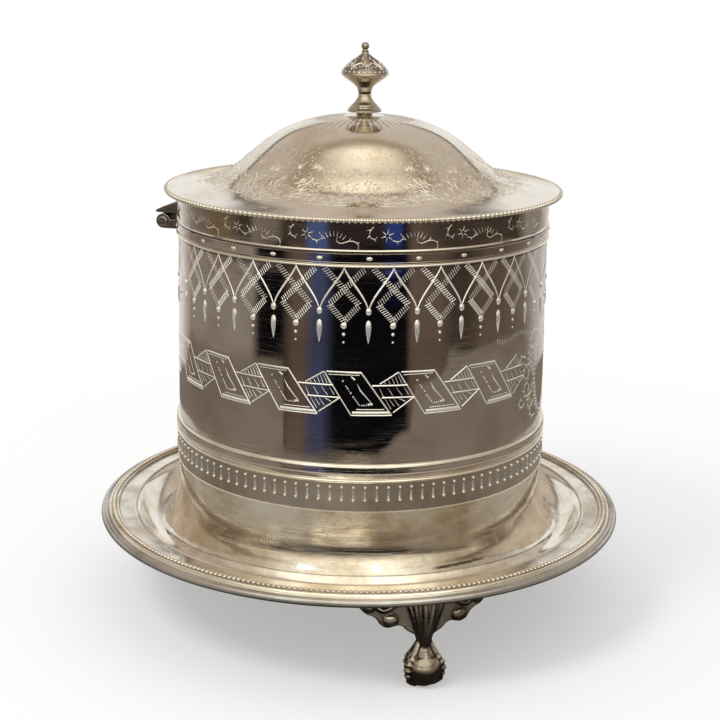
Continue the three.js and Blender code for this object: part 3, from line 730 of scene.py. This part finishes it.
collar_silver = silver("collar_silver", (0.80, 0.76, 0.70), (0.58, 0.50, 0.41), mirror_grime_and_shade,
                       shine=0.05, film=0.06, waves=0.3, streaks=0.2)
finished("lid_collar_spun", turned(collar_line, lid_steps), collar_silver, "lid",
         ["lid_collar"])
lid_beads = joined(
    beads(lid_bead_count, lid_bead_place, lid_bead_height, lid_bead_size),
    ring(lid_bead_place - 0.55, lid_bead_height + 0.1, 0.9, 0.75, 10, lid_steps))
finished("lid_beads", lid_beads, bead_silver, "lid", ["lid_bead_wire"])


# The dome's engraving: bright and shaded rays round the finial and a frieze of leaf scrolls, fans
# and half rounds at its foot. Short bright and shaded strokes fill the ground between the leaves.
ray_count = 52
frieze_count = 8
dome_turn = 15
stroke_seed = 7
half_round = Vector((0, 65.0))
half_round_rays = 9
half_round_step = 22


def height_on(line, radius):
    """Height of a line of (radius, height) points at a radius."""
    for (inner, start), (outer, end) in zip(line, line[1:]):
        if inner <= radius < outer:
            return start + (end - start) * (radius - inner) / (outer - inner)
    return line[-1][1]


def draped(mesh, line):
    """Lays a flat drawing on a turned surface: x runs round it, z away from its axis, -y out of it."""
    for corner in sliced(sliced(mesh, 0), 2).verts:
        across, out, away = corner.co
        place = away / mm
        slope = (height_on(line, place + 0.4) - height_on(line, place - 0.4)) / 0.8
        facing = Vector((-slope, 1)).normalized()
        radius = away - out * facing.x
        angle = across / away
        corner.co = (radius * math.sin(angle), -radius * math.cos(angle),
                     height_on(line, place) * mm - out * facing.y)
    return mesh


def rayed(widest, farthest, width, proud):
    """Rays over the crown of the dome that swell up to one distance and taper out at another."""
    mesh = bmesh.new()
    cut(mesh, (0, 8), (0, widest), width, proud, ends=(0.35, 1))
    cut(mesh, (0, widest), (0, farthest), width, proud, ends=(1, 0.1))
    return repeated(draped(mesh, dome_line), ray_count)


rays = rayed(19, 28, 1.15, 0.1)
dark_rays = swung(rayed(17, 25, 0.8, 0.08), 180 / ray_count)


def spray(mesh, place, heading, spread, reach, leaves=5, width=0.5, proud=0.1):
    """A fan of leaf cuts from one point, the middle one longest. Angles in degrees."""
    place = Vector(place)
    for i in range(leaves):
        off = i / (leaves - 1) * 2 - 1
        tip = place + towards(heading + off * spread) * reach * (1 - 0.35 * abs(off))
        cut(mesh, place.lerp(tip, 0.15), tip, width, proud, ends=(1, 0.15))


frieze = bmesh.new()
for side in (-1, 1):
    for across, place, heading, length, curl, reach in (
            (2.5, 57.5, 15, 17, 12, 2.6), (5.5, 60.5, 55, 11, -28, 2.2), (14.5, 53.0, -35, 11, 30, 2.0),
            (21.5, 54.5, 145, 13, -24, 2.2), (21.5, 62.5, 200, 11, 28, 2.0), (9.0, 51.0, 170, 9, -34, 1.7),
            (20.0, 50.0, 100, 8, 30, 1.7), (12.0, 62.8, 15, 9, -24, 1.7), (3.5, 53.0, 60, 7, 34, 1.5),
            (17.0, 57.5, 20, 8, -36, 1.6)):
        angle = heading if side > 0 else 180 - heading
        scroll(frieze, (side * across, place), angle, length, curl * side, width=0.42, proud=0.09, leaves=2,
               reach=reach)
    for across, place, heading, spread, reach in (
            (1.2, 49.0, -80, 50, 3.4), (7.5, 56.5, -20, 60, 3.0), (12.5, 58.5, 200, 70, 2.8),
            (18.5, 60.5, -60, 80, 3.0), (10.5, 47.0, -60, 55, 3.0), (17.5, 46.5, -120, 60, 2.8),
            (21.8, 58.5, -90, 85, 3.2), (14.5, 61.5, 100, 60, 2.2), (8.5, 63.0, 60, 60, 1.8)):
        angle = heading if side > 0 else 180 - heading
        spray(frieze, (side * across, place), angle, spread, reach)
    curved(frieze, (side * 5.6, 64.8), (side * 10, 65.6), (side * 16, 64.2), (side * 22.2, 64.8),
           0.55, 0.1, steps=14)
strokes = random.Random(stroke_seed)


def scattered(mesh, count, nearest, farthest, half_lengths, width, proud):
    """Short bent seeded cuts that follow one another in waves, between two distances from the axis."""
    for _ in range(count):
        away = strokes.uniform(nearest, farthest)
        across = strokes.uniform(-1, 1) * math.pi * away / frieze_count
        heading = (60 * math.sin(across * 0.32 + away * 0.2) + strokes.uniform(-40, 40)
                   + 90 * (strokes.random() > 0.6))
        size = towards(heading) * strokes.uniform(*half_lengths)
        place = Vector((across, away))
        bend = place + Vector((-size.y, size.x)) * strokes.choice((-0.45, 0.45))
        cut(mesh, place - size, bend, width, proud, ends=(0.3, 1))
        cut(mesh, bend, place + size, width, proud, ends=(1, 0.2))


foliage = bmesh.new()
scattered(foliage, 290, 50, 65, (0.5, 1.2), 0.28, 0.06)
scattered(foliage, 150, 38, 51, (0.4, 0.9), 0.22, 0.04)
foliage = swung(repeated(draped(foliage, dome_line), frieze_count), dome_turn)
shaded = bmesh.new()
scattered(shaded, 140, 51, 65, (0.5, 1.2), 0.26, 0.05)
scattered(shaded, 40, 40, 51, (0.4, 0.9), 0.2, 0.035)
shaded = swung(joined(dark_rays, repeated(draped(shaded, dome_line), frieze_count)), dome_turn)
for i in range(half_round_rays):
    heading = (i - (half_round_rays - 1) / 2) * half_round_step - 90
    ray = towards(heading)
    cut(frieze, half_round + ray * 5.9, half_round + ray * 8.6, 0.7, 0.12, ends=(1, 0.3))
    if i < half_round_rays - 1:
        after = towards(heading + half_round_step)
        cut(frieze, half_round + ray * 5.2, half_round + after * 5.2, 0.4, 0.1)
frieze = repeated(draped(frieze, dome_line), frieze_count)
engraved_lid = swung(joined(rays, frieze), dome_turn)
lid_cut_silver = silver("lid_cut_silver", (0.92, 0.87, 0.77), (0.74, 0.65, 0.51), (0.3, 0.25, 0.2),
                        shine=0.18, film=-0.02, waves=0.02, streaks=0.0, frost=0.22)
finished("engraved_dome", engraved_lid, lid_cut_silver, "lid", crease=20)
finished("dome_foliage", foliage, lid_cut_silver, "lid", crease=20)
shaded_silver = silver("shaded_silver", (0.60, 0.52, 0.40), (0.40, 0.33, 0.23), bright_grime_and_shade,
                       shine=0.2, film=0.1, waves=0.02, streaks=0.0)
finished("shaded_dome", shaded, shaded_silver, "lid", crease=20)


# The collar's engraving: a fan, two curled stems and a small flower, cut lightly and repeated
# round the lid. The silver between them is left plain.
collar_motifs = 16
collar_turn = 7
fan_foot = Vector((0, 162.2))
flower = Vector((19.5, 167.8))

stems = bmesh.new()
for i in range(7):
    ray = towards(90 + (i - 3) * 13)
    cut(stems, fan_foot + ray * 5.2, fan_foot + ray * 7.2, 0.3, 0.07, ends=(1, 0.3))
scroll(stems, (4.2, 165.2), 20, 9.5, -26, width=0.28, proud=0.06, leaves=4, reach=1.3)
scroll(stems, (4.2, 165.2), 200, 5.0, -40, width=0.25, proud=0.06, leaves=0)
scroll(stems, (14.5, 171.0), 225, 7.5, 30, width=0.28, proud=0.06, leaves=3, reach=1.6)
for i in range(6):
    ray = towards(i * 60 + 20)
    cut(stems, flower + ray * 0.7, flower + ray * 2.5, 0.42, 0.08, ends=(1, 0.2))
scroll(stems, (21.5, 166.0), -20, 6.0, 34, width=0.25, proud=0.06, leaves=3, reach=1.3)
stems = swung(repeated(wrapped(stems, lambda height: collar_radius), collar_motifs), collar_turn)
finished("engraved_collar", stems, lid_cut_silver, "lid", crease=20)


# The finial: an onion on a bell foot, cast and turned in one piece, its upper half chased with
# scrolls over a row of beads, held from below by a stud, a washer and a nut.
finial_line = [(0, 203.35), (3.4, 203.35), (3.05, 203.8), (3.05, 204.4), (6.5, 204.6), (6.95, 204.8),
               (6.95, 205.2), (6.5, 205.55), (6.5, 205.9), (5.95, 206.25), (5.9, 206.6), (5.3, 206.95),
               (5.25, 207.3), (4.6, 207.8), (4.1, 208.3), (3.45, 209.2), (2.9, 210.2), (2.6, 211.1),
               (2.6, 212.0), (2.75, 212.9), (3.3, 214.2), (4.6, 215.5), (6.6, 216.9), (8.3, 218.2),
               (9.3, 219.2), (9.6, 219.6), (9.4, 219.95), (8.7, 221.4), (7.15, 223.1), (5.0, 224.9),
               (2.8, 226.5), (1.7, 227.4), (1.3, 228.0), (1.6, 228.35), (1.25, 228.7), (1.0, 229.1),
               (1.2, 229.4), (1.5, 229.9), (1.6, 230.5), (1.4, 231.2), (0.85, 231.75), (0, 231.95)]
knob_top = finial_line.index((9.6, 219.6))
chase_count = 8
finial_beads = 26
chased_heights = (219.8, 226.5)


def finial_radius(height):
    """Radius of the finial's upper half at a height in millimetres."""
    for (wide, low), (narrow, high) in zip(finial_line[knob_top:], finial_line[knob_top + 1:]):
        if low <= height < high:
            return wide + (narrow - wide) * (height - low) / (high - low)
    return finial_line[knob_top][0]


def chased_grime(base, radius, z):
    """Tarnish left on the ground of the chasing."""
    low, high = chased_heights
    return z.over(low * mm, (low + 0.5) * mm) * (1 - z.over(high * mm, (high + 1.2) * mm)) * 0.55


finial_silver = silver("finial_silver", (0.54, 0.485, 0.405), (0.27, 0.21, 0.145), (0.05, 0.038, 0.026),
                       shine=0.09, film=0.08, waves=0.08, streaks=0.0, grime_and_shade_where=chased_grime)
finished("finial_turned", turned(rounded(finial_line, 2), 96), finial_silver, "lid",
         ["finial"], crease=50)
chasing = bmesh.new()
curved(chasing, (-2.6, 221.6), (-3.2, 223.6), (0.4, 225.0), (1.2, 223.4), 0.62, 0.3)
curved(chasing, (1.2, 223.4), (1.3, 222.3), (-0.6, 222.2), (-0.5, 223.2), 0.5, 0.28)
curved(chasing, (2.9, 221.5), (2.4, 222.8), (1.9, 223.6), (0.9, 225.2), 0.5, 0.28)
bead(chasing, 2.6, 223.2, (0.4, 0.3, 0.55), detail=1)
bead(chasing, 0.0, 225.9, (0.35, 0.28, 0.6), detail=1)
bead(chasing, -1.5, 222.3, (0.45, 0.3, 0.4), detail=1)
chasing = repeated(wrapped(chasing, finial_radius), chase_count)
pearls = bmesh.new()
bead(pearls, 0, 220.75, (0.55, 0.42, 0.42), detail=1)
pearls = repeated(wrapped(pearls, finial_radius), finial_beads)
finished("finial_chasing", joined(chasing, pearls), pin_silver, "lid", ["finial"], crease=40)
for name in ("finial_stud", "finial_washer", "finial_nut"):
    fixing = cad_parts[name].data.materials
    fixing.clear()
    fixing.append(finial_silver)


# The feet: three cast claw-and-ball feet, soldered to the stand. A lobed bracket fits under its
# border, a leg of hanging strands narrows to the ankle, and four ribbed toes hold a ball.
foot_place = 96.85
foot_angles = (180, 300, 60)
foot_voxel = 0.34
ball_height = 6.8
ball_radius = 7.2
bracket_half = 1.4
strand_count = 11
back_strands = 5
toe_bearings = (-140, -70, 70, 140)
toe_knuckles = 7
toe_sweep = (-58, 54)
solder_gap = 0.06
bracket_outline = [(0, 21), (2.9, 20.6), (6.2, 22.6), (7.9, 24.4), (10.1, 25.2), (12.5, 24.7), (14.4, 24.4),
                   (16.2, 25.4), (17.6, 27.6), (19.7, 29.2), (21.8, 30), (24, 32.2), (24, 38.9)]


def ball(mesh, place, size, detail=2):
    """An oval ball at a place, by its three half sizes."""
    seat = Matrix.Translation(Vector(place) * mm) @ Matrix.Diagonal((*(Vector(size) * mm), 1))
    bmesh.ops.create_icosphere(mesh, subdivisions=detail, radius=1, matrix=seat)


def limb(mesh, path, spacing=0.5, detail=1):
    """Overlapping balls along a smooth path of (x, y, z, radius)."""
    for before, start, end, after in spans(path):
        count = max(round((end - start).length / spacing), 1)
        for i in range(count + 1):
            t = i / count
            place = (start * (1 - t) ** 3 + (start + (end - before) / 6) * 3 * t * (1 - t) ** 2
                     + (end - (after - start) / 6) * 3 * t * t * (1 - t) + end * t ** 3)
            ball(mesh, place[:3], (place[3],) * 3, detail)


def melted(mesh, voxel, softening):
    """A heap of overlapping shapes made into one skin with soft edges, as a casting has them."""
    data = stored("heap", mesh)
    heap = placed("heap", data)
    skin = heap.modifiers.new("skin", "REMESH")
    skin.mode = "VOXEL"
    skin.voxel_size = voxel * mm
    soft = heap.modifiers.new("soft", "SMOOTH")
    soft.iterations = softening
    cast = bmesh.new()
    cast.from_object(heap, bpy.context.evaluated_depsgraph_get())
    bpy.data.objects.remove(heap)
    bpy.data.meshes.remove(data)
    return cast


def hollowed(mesh, passes):
    """Writes on every corner how deep it lies against a smoother skin, in millimetres."""
    smoother = mesh.copy()
    for _ in range(passes):
        bmesh.ops.smooth_vert(smoother, verts=smoother.verts, factor=0.5, use_axis_x=True,
                              use_axis_y=True, use_axis_z=True)
    mesh.normal_update()
    depth = mesh.verts.layers.float.new("hollow")
    for corner, soft in zip(mesh.verts, smoother.verts):
        corner[depth] = (soft.co - corner.co).dot(corner.normal) / mm
    smoother.free()
    return mesh


def cast_grime(base, radius, z):
    """Tarnish that polishing never reaches, in the hollows of a casting."""
    return base.node("ShaderNodeAttribute", {"attribute_name": "hollow"}, {}, output=2).over(-0.06, 0.08)


foot = bmesh.new()
edge = [(-y, z) for y, z in bracket_outline[:0:-1]] + bracket_outline
plate = foot.faces.new([foot.verts.new(Vector((-bracket_half, y, z)) * mm) for y, z in edge])
pushed = bmesh.ops.extrude_face_region(foot, geom=[plate])
bmesh.ops.translate(foot, vec=(2 * bracket_half * mm, 0, 0),
                    verts=[item for item in pushed["geom"] if isinstance(item, bmesh.types.BMVert)])
bmesh.ops.recalc_face_normals(foot, faces=foot.faces)
for side in (-1, 1):
    limb(foot, [(0.4, side * y, z + 0.6, 1.15) for y, z in bracket_outline[1:-1]])
    ball(foot, (0.8, side * 13.4, 27.4), (2.0, 2.9, 2.8))
    ball(foot, (0.8, side * 21.3, 33.2), (1.8, 2.4, 2.6))
    limb(foot, [(1.5, side * 8.6, 37.5, 0.9), (1.9, side * 12.0, 33.5, 0.8), (1.7, side * 16.5, 31.6, 0.8),
                (1.3, side * 19.6, 34.6, 0.6)])
    limb(foot, [(1.4, side * 13.5, 37.8, 0.8), (1.6, side * 17.6, 36.4, 0.7), (1.3, side * 21.0, 37.2, 0.5)])
limb(foot, [(-0.6, 0, 37, 6.4), (-0.4, 0, 32, 5.6), (0, 0, 27, 4.6), (0.2, 0, 22, 3.6), (0.2, 0, 17.5, 2.7),
            (0, 0, 14.5, 3.2), (0, 0, 11.0, 4.6)], spacing=0.8, detail=2)
for i in range(strand_count):
    lean = 2 * i / (strand_count - 1) - 1
    front = math.cos(lean * math.pi / 2)
    reach = 1 - 0.12 * (i % 2)
    limb(foot, [(5.4 * front + 0.4, lean * 8.6, 38.0, 0.85),
                (5.7 * front * reach + 0.3, lean * 7.4, 32.5, 0.95),
                (4.7 * front * reach + 0.3, lean * 5.2, 26.5, 0.9),
                (3.6 * front + 0.2, lean * 3.3, 21.0, 0.75),
                (2.8 * front, lean * 2.5, 17.2 - 0.8 * (i % 2), 0.45)])
for i in range(back_strands):
    lean = 2 * i / (back_strands - 1) - 1
    back = math.cos(lean * math.pi / 3)
    limb(foot, [(-6.2 * back, lean * 4.5, 36.5, 0.9), (-4.8 * back, lean * 3.4, 28, 0.9),
                (-3.2 * back, lean * 2.2, 19, 0.6)])
ball(foot, (0, 0, ball_height), (ball_radius,) * 3, detail=4)
for toe in toe_bearings:
    out, across = towards(toe)
    for i in range(toe_knuckles):
        share = i / (toe_knuckles - 1)
        away, down = towards(toe_sweep[0] + (toe_sweep[1] - toe_sweep[0]) * share)
        lie = ball_radius - 0.5 + 1.1 * (1 - share) * share
        place = (out * away * lie, across * away * lie, ball_height - down * lie)
        knuckle = 1.75 - 0.35 * abs(share - 0.45)
        ball(foot, place, (knuckle,) * 3)
        rib = 1.95 - 0.5 * abs(share - 0.45)
        ball(foot, (place[0] * 1.01, place[1] * 1.01, place[2]), (rib, rib, 0.62))
    limb(foot, [(out * 2.2, across * 2.2, 17.5, 1.1), (out * 3.2, across * 3.2, 15.0, 1.4),
                (out * 4.4, across * 4.4, 12.6, 1.6)])
    limb(foot, [(out * 6.9, across * 6.9, 2.6, 1.0), (out * 5.6, across * 5.6, 1.2, 0.7)])
foot = melted(foot, foot_voxel, 2)
bmesh.ops.translate(foot, verts=foot.verts, vec=(foot_place * mm, 0, 0))
underside = sorted(stand_under)
for corner in foot.verts:
    bend = math.hypot(foot_place, corner.co.y / mm) - foot_place
    corner.co.x -= bend * mm
    reach = math.hypot(corner.co.x, corner.co.y) / mm
    corner.co.z = min(max(corner.co.z, 0), (height_on(underside, reach) - solder_gap) * mm)
foot = hollowed(foot, 10)
foot_silver = silver("foot_silver", (0.56, 0.50, 0.42), (0.22, 0.17, 0.115), (0.02, 0.015, 0.01),
                     shine=0.1, film=0.14, waves=0.05, streaks=0.0, grime_and_shade_where=cast_grime)
for number, angle in enumerate(foot_angles, 1):
    finished(f"claw_foot_{number}", swung(foot.copy(), angle), foot_silver, "base",
             [f"foot_{number}"], crease=80)
foot.free()


# The hinge: two cast leaves with knuckles round a pin, soldered to the barrel's mouth and to the
# lid's collar. The casting is rough and has never been polished bright.
hinge_voxel = 0.16
hinge_silver = silver("hinge_silver", (0.60, 0.56, 0.51), (0.24, 0.205, 0.17), (0.04, 0.032, 0.027),
                      shine=0.13, film=0.14, waves=0.06, streaks=0.0, grime_and_shade_where=cast_grime)
for name, body in (("hinge_body_leaf", "base"), ("hinge_pin", "base"), ("hinge_lid_leaf", "lid")):
    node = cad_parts[name]
    leaf = bmesh.new()
    leaf.from_mesh(node.data)
    leaf.transform(node.matrix_world)
    bmesh.ops.remove_doubles(leaf, verts=leaf.verts, dist=0.001 * mm)
    leaf = hollowed(melted(leaf, hinge_voxel, 3), 8)
    finished(name.replace("hinge", "cast_hinge"), leaf, hinge_silver, body, [name],
             crease=60)


# The camera, placed as the photograph's was: its distance, height, pitch, roll and lens were
# fitted to the ellipses of the stand, the barrel and the lid.
view_turn = math.radians(15)
view_distance = 620
view_height = 268.7
view_pitch = math.radians(15.14)
view_roll = math.radians(0.8)
view_lens = 76.46
view_shift = -0.0014

camera_data = bpy.data.cameras.new("camera")
camera_data.lens = view_lens
camera_data.sensor_width = 36
camera_data.clip_start = 0.01
camera_data.shift_x = view_shift
camera = placed("camera", camera_data)
camera.location = Vector((math.sin(view_turn) * view_distance, -math.cos(view_turn) * view_distance,
                          view_height)) * mm
camera.rotation_euler = (
    Matrix.Rotation(view_turn, 3, "Z") @ Matrix.Rotation(math.pi / 2 - view_pitch, 3, "X")
    @ Matrix.Rotation(view_roll, 3, "Z")).to_euler()
bpy.context.scene.camera = camera


# The floor: plain and pale, with the box's shadow on it, lightened by a painted glow that grows to
# plain white further out. Polished silver sees, by glossy rays only, a painted room there instead:
# painted reflections of walls, a table, a sunlit patch and shade under the stand, by the bearing and
# distance from the box.
shadow_ends = (0.12, 0.42)
table_edge = (0.340, 0.354)
collar_sees = (0.885, 0.915)
horizon = (1.7, 2.3)
table_wood = (0.205, 0.172, 0.14)
pale_wall = (0.76, 0.72, 0.70)
grey_wall = (0.48, 0.44, 0.43)
taupe = (0.27, 0.23, 0.20)
tan = (0.185, 0.15, 0.125)
olive = (0.145, 0.10, 0.05)
brown = (0.12, 0.085, 0.066)
umber = (0.052, 0.037, 0.028)
shadow = (0.03, 0.02, 0.02)
soot = (0.003, 0.003, 0.004)
dusk = (0.05, 0.06, 0.12)
sky = (0.07, 0.10, 0.23)
deep_sky = (0.03, 0.05, 0.22)
sunlit = (1.7, 1.55, 1.2)


def cleared(tree):
    """A node tree with nothing in it, as a start for shader arithmetic."""
    tree.nodes.clear()
    return Shade(tree)


def round_view(base, bearing, colours):
    """Colours that change with the bearing in degrees, 0 being the camera's side."""
    return base.node("ShaderNodeValToRGB", {"stops": [
        ((angle + 180) / 360, colour) for angle, colour in colours]}, {0: bearing.over(-180, 180)})


floor_mesh = bmesh.new()
bmesh.ops.create_grid(floor_mesh, x_segments=1, y_segments=1, size=9)
floor_data = stored("studio_floor", floor_mesh)
placed("studio_floor", floor_data)
floor_material = bpy.data.materials.new("studio_floor")
floor_material.use_nodes = True
base = cleared(floor_material.node_tree)
place = base.node("ShaderNodeTexCoord", {}, {}, output=3)
place = base.node("ShaderNodeMapping", {}, {"Vector": place, "Rotation": (0, 0, -view_turn)})
x, y, _ = place.parts()
distance = (x * x + y * y) ** 0.5
bearing = place.bearing()
mid_room = round_view(base, bearing, [
    (-146, pale_wall), (-125, taupe), (-67, taupe), (-61, soot), (-47, soot), (-44, umber), (-39, brown),
    (-33, brown), (-27, dusk), (-22, dusk), (-15, soot), (25, soot), (28, brown), (46, brown), (54, umber),
    (64, umber), (76, brown), (92, brown), (112, tan), (132, grey_wall), (156, pale_wall)])
far_room = round_view(base, bearing, [
    (-146, pale_wall), (-125, taupe), (-110, tan), (-98, olive), (-86, olive), (-76, umber), (-70, umber),
    (-66, tan), (-52, tan), (-46, umber), (-33, umber), (-30, sky), (-21, sky), (-18, shadow), (12, shadow),
    (15, deep_sky), (22, deep_sky), (24, soot), (30, brown), (44, umber), (104, umber), (116, taupe),
    (134, taupe), (158, pale_wall)])
near_room = round_view(base, bearing, [
    (-180, (0.85, 0.83, 0.80)), (-130, (0.60, 0.56, 0.50)), (-90, (0.45, 0.40, 0.32)),
    (-60, (0.46, 0.39, 0.29)), (-25, (0.62, 0.54, 0.42)), (-21, sunlit), (5, sunlit),
    (9, (0.60, 0.52, 0.40)), (60, (0.27, 0.205, 0.14)), (90, (0.35, 0.30, 0.24)),
    (130, (0.60, 0.56, 0.50)), (180, (0.85, 0.83, 0.80))])
reach = (distance - bearing.over(10, 29) * 0.04 - bearing.over(28, 31) * 0.12
         - bearing.over(46, 52) * 0.07 - (1 - bearing.over(-45, -42)) * 0.19
         + bearing.over(108, 116) * 0.14 + (1 - bearing.over(-132, -124)) * 0.12)
shade = distance.over(*collar_sees).mix(mid_room, far_room)
shade = distance.over(*horizon).mix(shade, (0.85, 0.76, 0.58))
shade = reach.over(*table_edge).mix(table_wood, shade)
# Rings of the painted room nearing the box: the near room with a painted sunlit patch, two greyer rings, and
# painted shadow right under the stand.
for inner, outer, colour in ((0.304, 0.312, near_room), (0.272, 0.284, (0.39, 0.35, 0.29)),
                             (0.18, 0.23, (0.32, 0.30, 0.27)), (0.118, 0.15, (0.035, 0.03, 0.025))):
    shade = distance.over(inner, outer).mix(colour, shade)
shown = base.node("ShaderNodeEmission", {}, {"Color": shade, "Strength": 1.0})
matte = base.node("ShaderNodeBsdfDiffuse", {}, {"Color": (0.93, 0.93, 0.925, 1)})
white = base.node("ShaderNodeEmission", {}, {"Color": (1, 1, 1, 1), "Strength": 1.0})
fade = distance.over(*shadow_ends) * 0.65 + 0.35
seen = base.node("ShaderNodeMixShader", {}, {0: fade, 1: matte, 2: white})
glossy = base.node("ShaderNodeLightPath", {}, {}, output=3)
both = base.node("ShaderNodeMixShader", {}, {0: glossy, 1: seen, 2: shown})
base.node("ShaderNodeOutputMaterial", {}, {"Surface": both})
floor_data.materials.append(floor_material)


# The air above: white for the camera and even soft light for everything else, but polished silver
# sees a painted room: walls, two painted windows, a dark border and a painted ceiling lamp, all
# painted reflections that light nothing else.
border_level = 23
window_levels = (6, 12)
painted_lamp_ahead = 0.17
windows = ((-30, 5.0), (11, 2.2))
painted_window_light = (2.4, 3.1, 3.7)

world = bpy.data.worlds.new("studio")
bpy.context.scene.world = world
world.use_nodes = True
base = cleared(world.node_tree)
direction = base.node("ShaderNodeTexCoord", {}, {}, output=0)
direction = base.node("ShaderNodeMapping", {}, {"Vector": direction, "Rotation": (0, 0, -view_turn)})
x, y, z = direction.parts()
bearing = direction.bearing()
level = z.maths("ARCSINE", z) * (180 / math.pi)
low_wall = round_view(base, bearing, [
    (-180, (0.92, 0.90, 0.87)), (-125, (0.80, 0.77, 0.72)), (-95, (0.50, 0.46, 0.40)),
    (-60, (0.56, 0.48, 0.37)), (-24, (1.2, 1.12, 0.92)), (20, (1.2, 1.12, 0.92)),
    (60, (0.42, 0.36, 0.28)), (95, (0.45, 0.41, 0.35)), (125, (0.80, 0.77, 0.72)),
    (180, (0.92, 0.90, 0.87))])
high_wall = round_view(base, bearing, [
    (-180, (0.60, 0.52, 0.455)), (-110, (0.50, 0.43, 0.365)), (-70, (0.64, 0.555, 0.45)),
    (-35, (1.45, 1.38, 1.2)), (35, (1.45, 1.38, 1.2)), (70, (0.70, 0.61, 0.51)),
    (110, (0.50, 0.43, 0.365)), (180, (0.60, 0.52, 0.455))])
ceiling = level.over(72, 84).mix(high_wall, (0.50, 0.425, 0.34))
# The painted ceiling lamp: a bright patch that only polished silver sees.
height = z.maths("MAXIMUM", z, 0.05)
aside = x / height * 0.82
ahead = (y / height - painted_lamp_ahead) * 1.3
spot = (aside * aside + ahead * ahead) ** 0.5
ceiling = spot.over(0.46, 0.66).mix((0.38, 0.31, 0.225), ceiling)
ceiling = spot.over(0.08, 0.38).mix((1.22, 1.1, 0.88), ceiling)
above = level.over(border_level - 1, border_level + 1).mix(low_wall, ceiling)
above = (level.near(border_level, 1.0, 2.0) * 0.95).mix(above, (0.09, 0.075, 0.06))
above = level.over(0, 3).mix((0.6, 0.53, 0.4), above)
# The two painted windows: bright glints for polished silver only.
lowest, highest = window_levels
for window_bearing, width in windows:
    window = (bearing.near(window_bearing, width - 1, width) * level.over(lowest, lowest + 0.6)
              * (1 - level.over(highest - 0.5, highest)))
    above = window.mix(above, painted_window_light)
plain = base.node("ShaderNodeBackground", {}, {"Color": (1, 1, 1, 1), "Strength": 0.85})
camera_white = base.node("ShaderNodeBackground", {}, {"Color": (1, 1, 1, 1), "Strength": 1.0})
silver_room = base.node("ShaderNodeBackground", {}, {"Color": above, "Strength": 1.0})
glossy = base.node("ShaderNodeLightPath", {}, {}, output=3)
by_camera = base.node("ShaderNodeLightPath", {}, {}, output=0)
first = base.node("ShaderNodeMixShader", {}, {0: glossy, 1: plain, 2: silver_room})
last = base.node("ShaderNodeMixShader", {}, {0: by_camera, 1: first, 2: camera_white})
base.node("ShaderNodeOutputWorld", {}, {"Surface": last})


# The lamp: one large soft light, high on the left of the camera. It gives the shadow its side
# and isn't mirrored in the silver, where the photograph shows none.
lamp_place = Vector((-500, -700, 1100)) * mm
lamp_aim = Vector((0, 0, 100)) * mm

lamp = bpy.data.lights.new("key_light", "AREA")
lamp.size = 400 * mm
lamp.energy = 6
lamp.color = (1, 0.98, 0.95)
key_light = placed("key_light", lamp)
key_light.location = lamp_place
key_light.rotation_euler = (lamp_aim - lamp_place).to_track_quat("-Z", "Y").to_euler()
key_light.visible_glossy = False

bpy.context.scene.view_settings.view_transform = "Standard"
